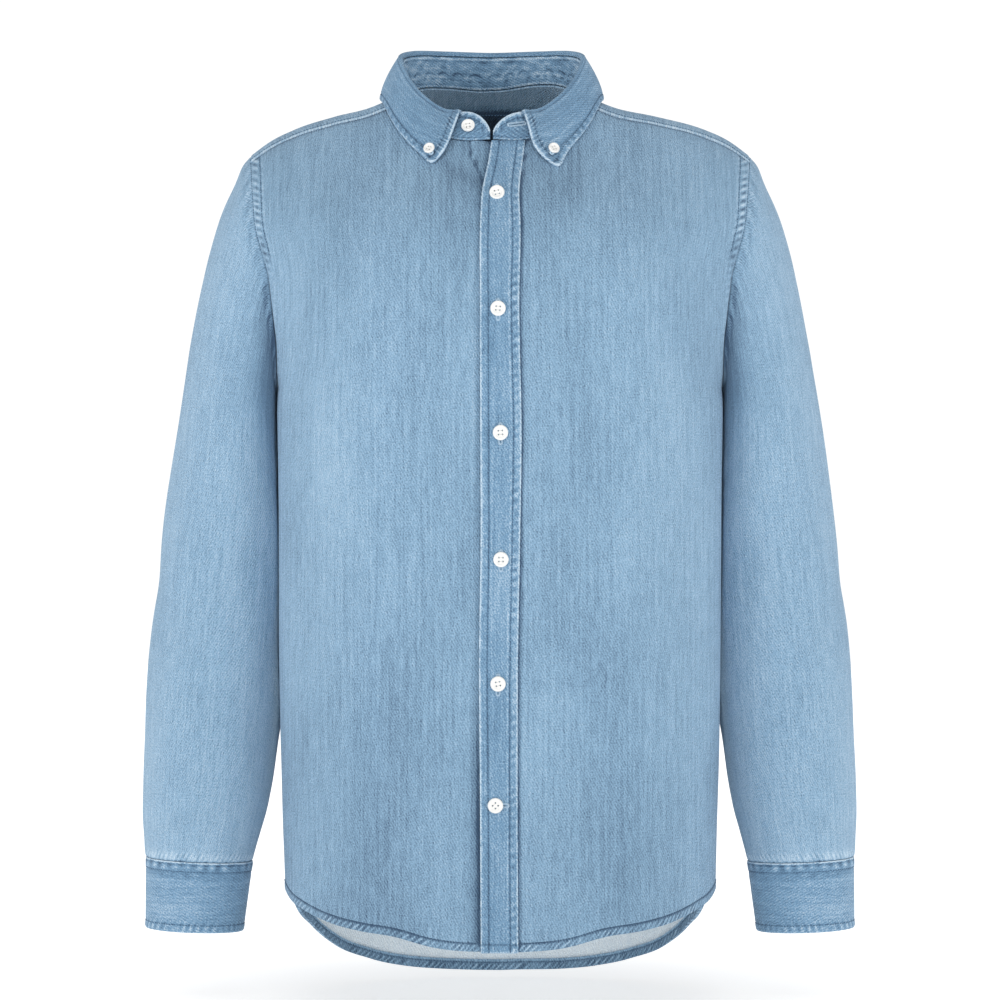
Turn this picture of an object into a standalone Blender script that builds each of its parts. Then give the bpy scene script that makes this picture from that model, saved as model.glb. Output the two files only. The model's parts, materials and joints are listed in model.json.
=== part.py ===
"""A long-sleeved denim shirt with a button-down collar, hollow and filled out as it is when it is worn.

Metres, +Z up. The front faces -Y and the wearer's left is +X. The origin lies between the shoulders, on the
plane of the side seams and the shoulder ridges, where the wearer's shoulders carry the shirt.
"""

import math
from typing import NamedTuple

import bmesh
import bpy
import numpy as np
from mathutils import Vector

# Cloth
SINGLE_CLOTH = 0.0013
DOUBLE_CLOTH = 0.0020
SEAM_GAP = 0.0003
LAYER_GAP = 0.0004
PLACKET_PROUD = 0.0008
BODY_INSIDE = (0.0, 0.0, -0.35)

# Torso
UNDERARM_HEIGHT = -0.240
SIDE_HEM_HEIGHT = -0.662
SHOULDER_DROP = 0.16
TORSO_FULLNESS = 2.3
BACK_YOKE_HEIGHT = -0.095

# Armhole, a leaning loop from the shoulder's end to the underarm
ARMHOLE_TOP_X = 0.212
ARMHOLE_TOP_HEIGHT = -0.043
ARMHOLE_TOP_MARGIN = 0.001
ARMHOLE_BOTTOM_X = 0.190
ARMHOLE_FRONT_DEPTH = 0.054
ARMHOLE_BACK_DEPTH = 0.064
YOKE_FRONT_STATION = -22.5

# Neck and collar
NECK_CENTRE = -0.007
NECK_HALF_WIDTH = 0.078
YOKE_NECK_ANGLE = 104.0
RIGHT_FIRST_TURN = 179.7
LEFT_FIRST_TURN = 158.7
STAND_TOP_HALF_WIDTH = 0.0770
STAND_TOP_CENTRE_Y = -0.008
STAND_TOP_HALF_DEPTH = 0.054
STAND_END_TURNS = (179.1, 177.4, 175.0, 172.0)
LEAF_END_ANGLE = 160.5
LEAF_BULGE = 0.0035
RIGHT_END_CURVE = 0.021
LEFT_END_CURVE = 0.027

# Cuffs, each a strip whose outer end overlaps its inner end at the back
CUFF_START_TURN = 101.0
CUFF_END_TURN = 483.0
CUFF_LIFT_TURN = 425.0
CUFF_LIFTED_TURN = 455.0
CUFF_BUTTON_TURN = 472.0
CUFF_CORNER = 0.012
SLEEVE_CLEARANCE = 0.0012

# Grid sizes
BODY_ROWS = 13
CENTRE_ROWS = 7
NECK_ROWS = 7
BACK_ARM_ROWS = 8
HALF_COLUMNS = 10
YOKE_ARM_COLUMNS = 5
SLEEVE_ROWS = 20
CUFF_COLUMNS = 26
CUFF_ROWS = 3
STAND_ROWS = 3
LEAF_COLUMNS = 18
LEAF_FALL_ROWS = 5
PLACKET_COLUMNS = 3
BUTTON_SEGMENTS = 14

# Buttons
BUTTON_RADIUS = 0.0063
POINT_BUTTON_RADIUS = 0.0048
BUTTON_HEIGHT = 0.0026
BAND_BUTTON_TURN = -165.5
BAND_BUTTON_SHARE = 0.52
POINT_BUTTON_PLACE = 0.973
POINT_BUTTON_FALL = 0.82


class TorsoSection(NamedTuple):
    """One level of the torso below the shoulders."""

    height: float
    half_width: float
    front_depth: float
    back_depth: float


TORSO = (
    TorsoSection(-0.760, 0.1805, 0.134, 0.127),
    TorsoSection(-0.660, 0.1822, 0.133, 0.125),
    TorsoSection(-0.510, 0.1862, 0.131, 0.121),
    TorsoSection(-0.400, 0.1875, 0.132, 0.118),
    TorsoSection(-0.290, 0.1887, 0.134, 0.121),
    TorsoSection(-0.240, 0.1900, 0.135, 0.126),
    TorsoSection(-0.160, 0.1980, 0.129, 0.125),
    TorsoSection(-0.095, 0.2050, 0.112, 0.117),
    TorsoSection(-0.037, 0.2120, 0.085, 0.106),
    TorsoSection(0.040, 0.2120, 0.081, 0.100),
)


class RidgePoint(NamedTuple):
    """Height of the shoulder ridge at a distance from the centre."""

    across: float
    height: float


RIDGE = (
    RidgePoint(0.000, 0.0360),
    RidgePoint(0.030, 0.0340),
    RidgePoint(0.055, 0.0260),
    RidgePoint(0.078, 0.0100),
    RidgePoint(0.102, -0.0010),
    RidgePoint(0.137, -0.0094),
    RidgePoint(0.173, -0.0200),
    RidgePoint(0.195, -0.0305),
    RidgePoint(ARMHOLE_TOP_X, ARMHOLE_TOP_HEIGHT),
)


class NeckPoint(NamedTuple):
    """The neck seam's lean from the shoulder ridge and the collar band's top, by the turn from the back."""

    turn: float
    seam_lean: float
    band_height: float


NECK = (
    NeckPoint(0.0, 27.0, 0.0458),
    NeckPoint(30.0, 21.5, 0.0461),
    NeckPoint(60.0, 9.0, 0.0440),
    NeckPoint(80.0, -2.0, 0.0395),
    NeckPoint(92.0, -10.5, 0.0355),
    NeckPoint(106.0, -22.0, 0.0250),
    NeckPoint(120.0, -33.0, 0.0115),
    NeckPoint(135.0, -45.0, -0.0020),
    NeckPoint(149.0, -53.0, -0.0112),
    NeckPoint(160.0, -56.0, -0.0112),
    NeckPoint(180.0, -56.4, -0.0120),
)


class LeafEdge(NamedTuple):
    """Where the collar leaf's outer edge lies on the shoulders, from the back's centre to the point."""

    share: float
    across: float
    lean: float


LEAF_EDGE = (
    LeafEdge(0.00, 0.0000, 35.0),
    LeafEdge(0.25, 0.0450, 32.0),
    LeafEdge(0.45, 0.0800, 17.0),
    LeafEdge(0.60, 0.0940, 0.0),
    LeafEdge(0.75, 0.0850, -30.0),
    LeafEdge(0.88, 0.0690, -49.0),
    LeafEdge(1.00, 0.0515, -62.0),
)


class HemPoint(NamedTuple):
    """Heights of the two hems, by the share of the way from the centre to the side seam."""

    share: float
    front_height: float
    back_height: float


HEM = (
    HemPoint(0.00, -0.7032, -0.7506),
    HemPoint(0.30, -0.6990, -0.7490),
    HemPoint(0.47, -0.6915, -0.7450),
    HemPoint(0.63, -0.6880, -0.7380),
    HemPoint(0.79, -0.6820, -0.7240),
    HemPoint(0.90, -0.6745, -0.7040),
    HemPoint(0.96, -0.6690, -0.6870),
    HemPoint(1.00, SIDE_HEM_HEIGHT, SIDE_HEM_HEIGHT),
)


class PlacketLevel(NamedTuple):
    """The placket's two edges at a height, and the edge of the wearer's right front that lies under it."""

    height: float
    free_edge: float
    sewn_edge: float
    under_edge: float


PLACKET = (
    PlacketLevel(-0.7040, -0.0156, 0.0152, 0.0140),
    PlacketLevel(-0.5800, -0.0163, 0.0146, 0.0140),
    PlacketLevel(-0.4600, -0.0170, 0.0150, 0.0140),
    PlacketLevel(-0.3700, -0.0158, 0.0166, 0.0140),
    PlacketLevel(-0.2800, -0.0160, 0.0178, 0.0140),
    PlacketLevel(-0.1700, -0.0163, 0.0160, 0.0138),
    PlacketLevel(-0.1070, -0.0162, 0.0170, 0.0130),
    PlacketLevel(-0.0815, -0.0148, 0.0162, 0.0080),
    PlacketLevel(-0.0545, -0.0096, 0.0190, -0.0060),
    PlacketLevel(-0.0355, -0.0068, 0.0214, -0.0074),
)


class PlacketButton(NamedTuple):
    """The middle of one front button and how far it stands off the placket's true curve."""

    across: float
    height: float
    lift: float


PLACKET_BUTTONS = (
    PlacketButton(-0.0025, -0.0832, -0.0002),
    PlacketButton(-0.0016, -0.1794, 0.0003),
    PlacketButton(0.0004, -0.2802, 0.0003),
    PlacketButton(0.0008, -0.3833, 0.0003),
    PlacketButton(-0.0016, -0.4844, 0.0003),
    PlacketButton(-0.0037, -0.5833, 0.0003),
)


class SleeveRing(NamedTuple):
    """One section of a sleeve: its outer and inner ends, its middle's depth and half its depth."""

    outer_x: float
    outer_height: float
    inner_x: float
    inner_height: float
    middle_y: float
    front_reach: float
    back_reach: float


SLEEVE = (
    SleeveRing(ARMHOLE_TOP_X, ARMHOLE_TOP_HEIGHT, ARMHOLE_BOTTOM_X, UNDERARM_HEIGHT, 0.000,
               ARMHOLE_FRONT_DEPTH, ARMHOLE_BACK_DEPTH),
    SleeveRing(0.2245, -0.058, 0.1905, -0.246, 0.006, 0.059, 0.067),
    SleeveRing(0.2375, -0.092, 0.1880, -0.256, 0.015, 0.063, 0.069),
    SleeveRing(0.2495, -0.130, 0.1850, -0.272, 0.024, 0.067, 0.070),
    SleeveRing(0.2590, -0.170, 0.1820, -0.296, 0.031, 0.070, 0.070),
    SleeveRing(0.2680, -0.219, 0.1790, -0.327, 0.036, 0.071, 0.069),
    SleeveRing(0.2780, -0.278, 0.1745, -0.366, 0.039, 0.069, 0.067),
    SleeveRing(0.2862, -0.335, 0.1740, -0.405, 0.040, 0.066, 0.064),
    SleeveRing(0.2925, -0.385, 0.1760, -0.441, 0.038, 0.064, 0.061),
    SleeveRing(0.2975, -0.429, 0.1790, -0.476, 0.033, 0.060, 0.058),
    SleeveRing(0.3008, -0.474, 0.1835, -0.512, 0.026, 0.056, 0.055),
    SleeveRing(0.3025, -0.530, 0.1900, -0.556, 0.016, 0.051, 0.050),
    SleeveRing(0.3035, -0.578, 0.1970, -0.592, 0.008, 0.046, 0.046),
    SleeveRing(0.3035, -0.607, 0.2030, -0.614, 0.003, 0.043, 0.043),
    SleeveRing(0.3020, -0.6275, 0.2075, -0.6310, 0.001, 0.040, 0.040),
    SleeveRing(0.3008, -0.6372, 0.2100, -0.6412, 0.000, 0.038, 0.038),
)


class CuffEnd(NamedTuple):
    """The top or the bottom edge of a cuff."""

    outer_x: float
    outer_height: float
    inner_x: float
    inner_height: float
    reach: float


CUFF_TOP = CuffEnd(0.3008, -0.6377, 0.2100, -0.6417, 0.0375)
CUFF_BOTTOM = CuffEnd(0.3012, -0.6972, 0.2180, -0.6975, 0.0355)


class Fold(NamedTuple):
    """A soft vertical trough in the torso: its place, its two ends, half its width and its depth."""

    side: int
    across: float
    top_height: float
    bottom_height: float
    half_width: float
    depth: float


FOLDS = (
    Fold(-1, -0.098, -0.42, -0.76, 0.020, 0.0028),
    Fold(-1, 0.090, -0.45, -0.76, 0.022, 0.0024),
    Fold(-1, -0.150, -0.22, -0.60, 0.016, 0.0016),
    Fold(-1, 0.158, -0.24, -0.58, 0.015, 0.0018),
    Fold(1, -0.085, -0.16, -0.74, 0.024, 0.0042),
    Fold(1, 0.070, -0.19, -0.76, 0.027, 0.0048),
    Fold(1, -0.010, -0.36, -0.76, 0.020, 0.0026),
    Fold(1, 0.142, -0.26, -0.70, 0.018, 0.0030),
    Fold(1, -0.150, -0.30, -0.66, 0.016, 0.0026),
)


class Crease(NamedTuple):
    """A soft trough across a sleeve: its place down and round the sleeve, its slant, sizes and depth."""

    down: float
    turn: float
    slant: float
    length: float
    half_width: float
    depth: float


SLEEVE_CREASES = (
    Crease(0.50, -100.0, 0.10, 60.0, 0.022, 0.0022),
    Crease(0.58, -20.0, -0.08, 70.0, 0.020, 0.0020),
    Crease(0.64, 95.0, 0.06, 70.0, 0.024, 0.0030),
    Crease(0.75, 120.0, -0.05, 60.0, 0.022, 0.0026),
    Crease(0.84, -70.0, 0.05, 55.0, 0.018, 0.0016),
)


class Finish(NamedTuple):
    """A material's plain look."""

    colour: tuple
    roughness: float


BODY_DENIM = Finish((0.25, 0.41, 0.57, 1.0), 0.9)
TRIM_DENIM = Finish((0.18, 0.32, 0.47, 1.0), 0.9)
WHITE_BUTTON = Finish((0.90, 0.89, 0.87, 1.0), 0.3)


def clear_scene():
    """Removes whatever the scene holds."""
    for thing in list(bpy.data.objects):
        bpy.data.objects.remove(thing, do_unlink=True)


def material_for(name, finish):
    """A material of a piece's own."""
    material = bpy.data.materials.new(name)
    material.use_nodes = True
    shader = material.node_tree.nodes["Principled BSDF"]
    shader.inputs["Base Color"].default_value = finish.colour
    shader.inputs["Roughness"].default_value = finish.roughness
    shader.inputs["Metallic"].default_value = 0.0
    return material


def curve_at(keys, values, place):
    """A smooth curve through the values at the rising keys, read at a place."""
    keys = np.asarray(keys, float)
    values = np.asarray(values, float)
    slopes = np.gradient(values, keys)
    place = min(max(place, keys[0]), keys[-1])
    at = min(int(np.searchsorted(keys, place, side="right")) - 1, len(keys) - 2)
    step = keys[at + 1] - keys[at]
    t = (place - keys[at]) / step
    start = (1 + 2 * t) * (1 - t) ** 2 * values[at] + t * (1 - t) ** 2 * step * slopes[at]
    end = t * t * (3 - 2 * t) * values[at + 1] - t * t * (1 - t) * step * slopes[at + 1]
    return start + end


def column(table, key, value, place):
    """One column of a table as a smooth curve of another."""
    rows = sorted(table, key=lambda row: getattr(row, key))
    return curve_at([getattr(r, key) for r in rows], [getattr(r, value) for r in rows], place)


def mix(first, second, share):
    """The value a share of the way from the first to the second."""
    return first + (second - first) * share


def smooth_step(value):
    """A soft ramp from 0 to 1."""
    value = min(max(value, 0.0), 1.0)
    return value * value * (3 - 2 * value)


def ridge_height(x):
    """Height of the shoulder ridge above a place. Near the neck the ridge keeps to the neck's centre."""
    off_centre = NECK_CENTRE * (1 - smooth_step((abs(x) - 0.09) / 0.10))
    return column(RIDGE, "across", "height", min(abs(x - off_centre), ARMHOLE_TOP_X))


def armhole_point(turn):
    """A point of the left armhole: 0 at the shoulder, 180 at the underarm, negative in front."""
    angle = math.radians(turn)
    x = mix(ARMHOLE_BOTTOM_X, ARMHOLE_TOP_X, (1 + math.cos(angle)) / 2)
    height = mix(UNDERARM_HEIGHT, ARMHOLE_TOP_HEIGHT, (1 + math.cos(angle)) / 2)
    depth = ARMHOLE_FRONT_DEPTH if turn < 0 else ARMHOLE_BACK_DEPTH
    return x, depth * math.sin(angle), height


def section_lean(x, height):
    """How much of the torso's depth its section has at a place, as it rounds over to the shoulder ridge."""
    below = min(max(ridge_height(x) - height, 0.0), SHOULDER_DROP)
    return math.sqrt(1 - (1 - below / SHOULDER_DROP) ** 2)


def section_depth(height, side):
    """The torso's depth at its middle, in front (-1) or behind (1)."""
    return column(TORSO, "height", "front_depth" if side < 0 else "back_depth", height)


def armhole_turn(height, side):
    """The armhole's station at a height, on its front (-1) or back (1) half."""
    share = (height - UNDERARM_HEIGHT) / (ARMHOLE_TOP_HEIGHT - UNDERARM_HEIGHT)
    return side * math.degrees(math.acos(2 * min(max(share, 0.0), 1.0) - 1))


def panel_edge(height):
    """How far from the centre a panel ends at a height: at the side seam, or higher up at the armhole."""
    if height <= UNDERARM_HEIGHT:
        return column(TORSO, "height", "half_width", height)
    return armhole_point(armhole_turn(height, 1))[0]


def section_width(height, side):
    """Half the width of the torso's whole section, which passes through the armhole above the underarm."""
    if height <= UNDERARM_HEIGHT:
        return panel_edge(height)
    height = min(height, ARMHOLE_TOP_HEIGHT - ARMHOLE_TOP_MARGIN)
    x, y, _ = armhole_point(armhole_turn(height, side))
    depth = section_depth(height, side) * section_lean(x, height)
    return x / (1 - (abs(y) / depth) ** TORSO_FULLNESS) ** (1 / TORSO_FULLNESS)


def fold_depth(x, height, side):
    """How far the soft folds draw the torso in."""
    total = 0.0
    for fold in FOLDS:
        if fold.side != side:
            continue
        across = (x - fold.across) / fold.half_width
        length = fold.top_height - fold.bottom_height
        along = (fold.top_height - height) / length
        total += fold.depth * math.exp(-across * across) * smooth_step(along * 2.5)
    return total


def torso_point(x, height, side):
    """The torso's outer face at a place and height, on the front (-1) or the back (1)."""
    share = min(abs(x) / section_width(height, side), 1.0)
    fullness = (1 - share**TORSO_FULLNESS) ** (1 / TORSO_FULLNESS)
    depth = section_depth(height, side) * section_lean(x, height) - fold_depth(x, height, side)
    return Vector((x, side * depth * fullness, height))


def shoulder_point(x, lean):
    """The torso's outer face on the shoulders, by the lean of its section from the ridge in degrees."""
    height = ridge_height(x) - SHOULDER_DROP * (1 - math.cos(math.radians(lean)))
    return torso_point(x, height, -1 if lean < 0 else 1)


def lean_at(x, height, side):
    """The lean, in degrees, of the torso's section at a place and height on the shoulders."""
    below = min(max(ridge_height(x) - height, 0.0), SHOULDER_DROP)
    return side * math.degrees(math.acos(1 - below / SHOULDER_DROP))


def raised_shoulder_point(x, lean, out):
    """A point off the shoulders' outer face."""
    across = shoulder_point(x + 0.002, lean) - shoulder_point(x - 0.002, lean)
    over = shoulder_point(x, lean + 2.0) - shoulder_point(x, lean - 2.0)
    normal = across.cross(over).normalized()
    return shoulder_point(x, lean) + normal * out


def raised_front_point(x, height, out):
    """A point off the fronts' outer face."""
    across = torso_point(x + 0.002, height, -1) - torso_point(x - 0.002, height, -1)
    up = torso_point(x, height + 0.002, -1) - torso_point(x, height - 0.002, -1)
    normal = across.cross(up).normalized()
    return torso_point(x, height, -1) + normal * out


def neck_lean(turn):
    """The neck seam's lean from the ridge; turns are 0 at the back's centre and positive on the left."""
    return column(NECK, "turn", "seam_lean", abs(turn))


def neck_place(turn):
    """The neck seam in the front view: place across and height."""
    x = NECK_CENTRE + NECK_HALF_WIDTH * math.sin(math.radians(turn))
    return x, ridge_height(x) - SHOULDER_DROP * (1 - math.cos(math.radians(neck_lean(turn))))


def neck_point(turn):
    """The neck seam on the torso's outer face."""
    return shoulder_point(neck_place(turn)[0], neck_lean(turn))


def band_top_point(turn):
    """The top edge of the collar band's outer face, before its ends are rounded."""
    angle = math.radians(turn)
    x = NECK_CENTRE + STAND_TOP_HALF_WIDTH * math.sin(angle)
    y = STAND_TOP_CENTRE_Y + STAND_TOP_HALF_DEPTH * math.cos(angle)
    return Vector((x, y, column(NECK, "turn", "band_height", abs(turn))))


def grid_normals(grid, wraps):
    """Unit normals at a grid's points."""
    if wraps:
        across = np.roll(grid, -1, axis=1) - np.roll(grid, 1, axis=1)
    else:
        across = np.gradient(grid, axis=1)
    normals = np.cross(across, np.gradient(grid, axis=0))
    return normals / np.linalg.norm(normals, axis=2, keepdims=True)


def trimmed(grid, bottom, top, first, last):
    """The grid with each of its edges drawn in along the grid's own lines by a distance."""
    grid = grid.copy()
    edges = (
        (bottom, (0, slice(None)), (1, slice(None))),
        (top, (-1, slice(None)), (-2, slice(None))),
        (first, (slice(None), 0), (slice(None), 1)),
        (last, (slice(None), -1), (slice(None), -2)),
    )
    for distance, edge, beside in edges:
        if distance:
            inward = grid[beside] - grid[edge]
            grid[edge] += inward / np.linalg.norm(inward, axis=-1, keepdims=True) * distance
    return grid


def wall(name, rows, thickness, inside, finish, trims=(0, 0, 0, 0), wraps=False):
    """A closed wall of cloth whose outer face is the grid, with its inner face a thickness nearer inside."""
    grid = trimmed(np.array([[tuple(point) for point in row] for row in rows]), *trims)
    normals = grid_normals(grid, wraps)
    if (normals * (grid - np.asarray(inside))).sum() < 0:
        grid = grid[:, ::-1]
        normals = grid_normals(grid, wraps)
    row_count, column_count = grid.shape[:2]
    builder = bmesh.new()
    outer = [[builder.verts.new(point) for point in row] for row in grid]
    inner = [[builder.verts.new(point) for point in row] for row in grid - normals * thickness]
    last = column_count if wraps else column_count - 1
    for i in range(row_count - 1):
        for j in range(last):
            k = (j + 1) % column_count
            builder.faces.new((outer[i][j], outer[i][k], outer[i + 1][k], outer[i + 1][j]))
            builder.faces.new((inner[i][j], inner[i + 1][j], inner[i + 1][k], inner[i][k]))
    for j in range(last):
        k = (j + 1) % column_count
        builder.faces.new((outer[0][k], outer[0][j], inner[0][j], inner[0][k]))
        builder.faces.new((outer[-1][j], outer[-1][k], inner[-1][k], inner[-1][j]))
    if not wraps:
        for i in range(row_count - 1):
            builder.faces.new((outer[i][0], outer[i + 1][0], inner[i + 1][0], inner[i][0]))
            builder.faces.new((outer[i + 1][-1], outer[i][-1], inner[i][-1], inner[i + 1][-1]))
    bmesh.ops.recalc_face_normals(builder, faces=builder.faces)
    return finished(name, builder, finish)


def finished(name, builder, finish):
    """The builder's mesh as a smooth-shaded object with its own material."""
    mesh = bpy.data.meshes.new(name)
    builder.to_mesh(mesh)
    builder.free()
    mesh.materials.append(material_for(name, finish))
    mesh.shade_smooth()
    mesh.set_sharp_from_angle(angle=math.radians(50))
    piece = bpy.data.objects.new(name, mesh)
    bpy.context.collection.objects.link(piece)
    return piece


def arc_shares(count):
    """Shares from 0 to 1 that close up towards 1, where a section turns away."""
    return [math.sin(math.pi / 2 * i / count) for i in range(count + 1)]


def corner_turn():
    """The armhole's station where the back yoke seam meets it."""
    share = (BACK_YOKE_HEIGHT - UNDERARM_HEIGHT) / (ARMHOLE_TOP_HEIGHT - UNDERARM_HEIGHT)
    return math.degrees(math.acos(2 * share - 1))


def front_armhole_turns():
    """The armhole's stations along a front, from the underarm up."""
    return np.linspace(-180.0, YOKE_FRONT_STATION, CENTRE_ROWS + NECK_ROWS + 1)


def yoke_armhole_turns():
    """The armhole's stations along the yoke, from the front seam to the back one."""
    return np.linspace(YOKE_FRONT_STATION, corner_turn(), YOKE_ARM_COLUMNS + 1)


def back_armhole_turns():
    """The armhole's stations along the back, from the yoke seam down."""
    return np.linspace(corner_turn(), 180.0, BACK_ARM_ROWS + 1)


def neck_turns_on_yoke():
    """The neck seam's stations along half of the yoke, from the front seam to the back's centre."""
    return np.linspace(YOKE_NECK_ANGLE, 0.0, YOKE_ARM_COLUMNS + HALF_COLUMNS + 1)


def neck_turns_on_front(first_turn):
    """The neck seam's stations along a front, from its centre edge to the yoke."""
    return np.linspace(first_turn, YOKE_NECK_ANGLE, NECK_ROWS + 1)


def hem_height(x, side):
    """Height of the front (-1) or the back (1) hem at a place."""
    share = min(abs(x) / column(TORSO, "height", "half_width", SIDE_HEM_HEIGHT), 1.0)
    return column(HEM, "share", "front_height" if side < 0 else "back_height", share)


def body_place(centre, side, wing, share, up):
    """A place on a panel's grid below the underarm: across and height."""
    x = mix(centre, wing * panel_edge(mix(SIDE_HEM_HEIGHT, UNDERARM_HEIGHT, up)), share)
    return x, mix(hem_height(x, side), UNDERARM_HEIGHT, up)


def front_panel(name, wing, centre_column, first_turn, centre_trim, sink):
    """A front, from its centre edge to the side seam and the armhole.

    wing is 1 on the wearer's left, and sink says how far the cloth dips at a place.
    """
    shares = arc_shares(HALF_COLUMNS)
    rows = []
    for step in range(BODY_ROWS):
        level = mix(hem_height(0.0, -1), UNDERARM_HEIGHT, step / BODY_ROWS)
        centre = column(PLACKET, "height", centre_column, level)
        rows.append([body_place(centre, -1, wing, share, step / BODY_ROWS) for share in shares])
    neck_turns = neck_turns_on_front(first_turn)
    for step, turn in enumerate(front_armhole_turns()):
        edge_x, _, edge_height = armhole_point(turn)
        if step < CENTRE_ROWS:
            inner_height = mix(UNDERARM_HEIGHT, neck_place(180.0)[1], step / CENTRE_ROWS)
            inner_x = column(PLACKET, "height", centre_column, inner_height)
        else:
            inner_x, inner_height = neck_place(wing * neck_turns[step - CENTRE_ROWS])
        inner_drop = ridge_height(inner_x) - inner_height
        edge_drop = ridge_height(edge_x) - edge_height
        on_yoke_seam = step == CENTRE_ROWS + NECK_ROWS
        row = []
        for share in shares:
            x = mix(inner_x, wing * edge_x, share)
            level = mix(inner_height, edge_height, share)
            if on_yoke_seam:
                row.append((x, ridge_height(x) - yoke_seam_drop(x)))
            else:
                ridged = ridge_height(x) - mix(inner_drop, edge_drop, share)
                row.append((x, mix(level, ridged, smooth_step(step / CENTRE_ROWS))))
        rows.append(row)
    points = [[raised_front_point(x, z, -sink(x, z)) for x, z in row[:-1]] for row in rows]
    for row, places in zip(points, rows):
        row.append(torso_point(*places[-1], -1))
    return wall(name, points, SINGLE_CLOTH, BODY_INSIDE, BODY_DENIM,
                (0, 2 * SEAM_GAP, centre_trim, SEAM_GAP))


def yoke_seam_drop(x):
    """How far the front yoke seam lies below the shoulder ridge."""
    neck_x, neck_height = neck_place(YOKE_NECK_ANGLE)
    arm_x, _, arm_height = armhole_point(YOKE_FRONT_STATION)
    neck_drop = ridge_height(neck_x) - neck_height
    arm_drop = ridge_height(arm_x) - arm_height
    share = min(max((abs(x) - abs(neck_x)) / (arm_x - abs(neck_x)), 0.0), 1.0)
    return mix(neck_drop, arm_drop, share)


def build_fronts():
    """Both fronts. The wearer's right one dips under the placket."""

    def under_placket(x, height):
        free = column(PLACKET, "height", "free_edge", height)
        depth = DOUBLE_CLOTH - PLACKET_PROUD + 2 * LAYER_GAP
        return depth * smooth_step((x - free + 0.060) / 0.030)

    front_panel("front_right", -1, "under_edge", RIGHT_FIRST_TURN, 0, under_placket)
    front_panel("front_left", 1, "sewn_edge", LEFT_FIRST_TURN, SEAM_GAP, lambda x, height: 0.0)


def build_back():
    """The back, from the hem to the yoke seam."""
    half = arc_shares(HALF_COLUMNS)
    shares = [-share for share in half[:0:-1]] + half
    rows = []
    for step in range(BODY_ROWS):
        rows.append([body_place(0.0, 1, 1, share, step / BODY_ROWS) for share in shares])
    for turn in back_armhole_turns()[::-1]:
        edge_x, _, height = armhole_point(turn)
        rows.append([(edge_x * share, height) for share in shares])
    points = [[torso_point(x, z, 1) for x, z in row] for row in rows]
    wall("back", points, SINGLE_CLOTH, BODY_INSIDE, BODY_DENIM,
         (0, 2 * SEAM_GAP, SEAM_GAP, SEAM_GAP))


def yoke_outer_places(wing):
    """Half of the yoke's outer edge, on the wearer's left for a wing of 1, as places across and leans."""
    places = []
    for turn in yoke_armhole_turns():
        x, _, height = armhole_point(turn)
        places.append((wing * x, lean_at(wing * x, height, -1 if turn < 0 else 1)))
    corner_x = places[-1][0]
    for share in arc_shares(HALF_COLUMNS)[-2::-1]:
        x = corner_x * share
        places.append((x, lean_at(x, BACK_YOKE_HEIGHT, 1)))
    return places


def build_yoke():
    """The yoke, from one front yoke seam round the back of the neck to the other."""
    columns = []
    for wing in (1, -1):
        half = []
        for turn, (outer_x, outer_lean) in zip(neck_turns_on_yoke(), yoke_outer_places(wing)):
            inner_x = neck_place(wing * turn)[0]
            inner_lean = neck_lean(turn)
            half.append([
                (mix(inner_x, outer_x, share), mix(inner_lean, outer_lean, share))
                for share in arc_shares(HALF_COLUMNS)
            ])
        if wing > 0:
            columns = half
        else:
            columns += half[-2::-1]
    for end, wing in ((0, 1), (-1, -1)):
        inner_x = neck_place(wing * YOKE_NECK_ANGLE)[0]
        arm_x = wing * armhole_point(YOKE_FRONT_STATION)[0]
        for i, share in enumerate(arc_shares(HALF_COLUMNS)):
            x = mix(inner_x, arm_x, share)
            columns[end][i] = (x, lean_at(x, ridge_height(x) - yoke_seam_drop(x), -1))
    points = [[shoulder_point(x, lean) for x, lean in column_places] for column_places in columns]
    wall("yoke", points, DOUBLE_CLOTH, (0.0, 0.0, -0.2), BODY_DENIM,
         (SEAM_GAP, SEAM_GAP, 0, SEAM_GAP))


def ring_value(name, down):
    """One size of the sleeve's section, by its place down the sleeve."""
    return curve_at(range(len(SLEEVE)), [getattr(ring, name) for ring in SLEEVE], down)


def crease_depth(down, turn):
    """How far the soft creases draw the sleeve in."""
    total = 0.0
    for crease in SLEEVE_CREASES:
        around = (turn - crease.turn + 180.0) % 360.0 - 180.0
        along = (down - crease.down - crease.slant * around / crease.length) / (crease.half_width * 2)
        total += crease.depth * math.exp(-along * along - (around / crease.length) ** 2)
    return total


def clear_of_torso(x, y, height):
    """A place moved out where it would come nearer to the torso than the sleeve may."""
    if height > UNDERARM_HEIGHT:
        return x, y
    half_width = column(TORSO, "height", "half_width", height) + SLEEVE_CLEARANCE
    depth = column(TORSO, "height", "front_depth" if y < 0 else "back_depth", height)
    filled = (abs(x) / half_width) ** TORSO_FULLNESS
    filled += (abs(y) / (depth + SLEEVE_CLEARANCE)) ** TORSO_FULLNESS
    grow = max(1.0, filled ** (-1 / TORSO_FULLNESS))
    return x * grow, y * grow


def sleeve_point(down, turn):
    """The left sleeve's outer face: how far down, and the turn from its outer side, negative in front."""
    angle = math.radians(turn)
    place = down * (len(SLEEVE) - 1)
    outward = (1 + math.cos(angle)) / 2
    x = mix(ring_value("inner_x", place), ring_value("outer_x", place), outward)
    height = mix(ring_value("inner_height", place), ring_value("outer_height", place), outward)
    reach = ring_value("front_reach" if turn < 0 else "back_reach", place)
    middle_x = (ring_value("inner_x", place) + ring_value("outer_x", place)) / 2
    drawn = 1 - crease_depth(down, turn) / reach
    x = mix(middle_x, x, drawn)
    y = ring_value("middle_y", place) + reach * math.sin(angle) * drawn
    x, y = clear_of_torso(x, y, height)
    return Vector((x, y, height))


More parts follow.
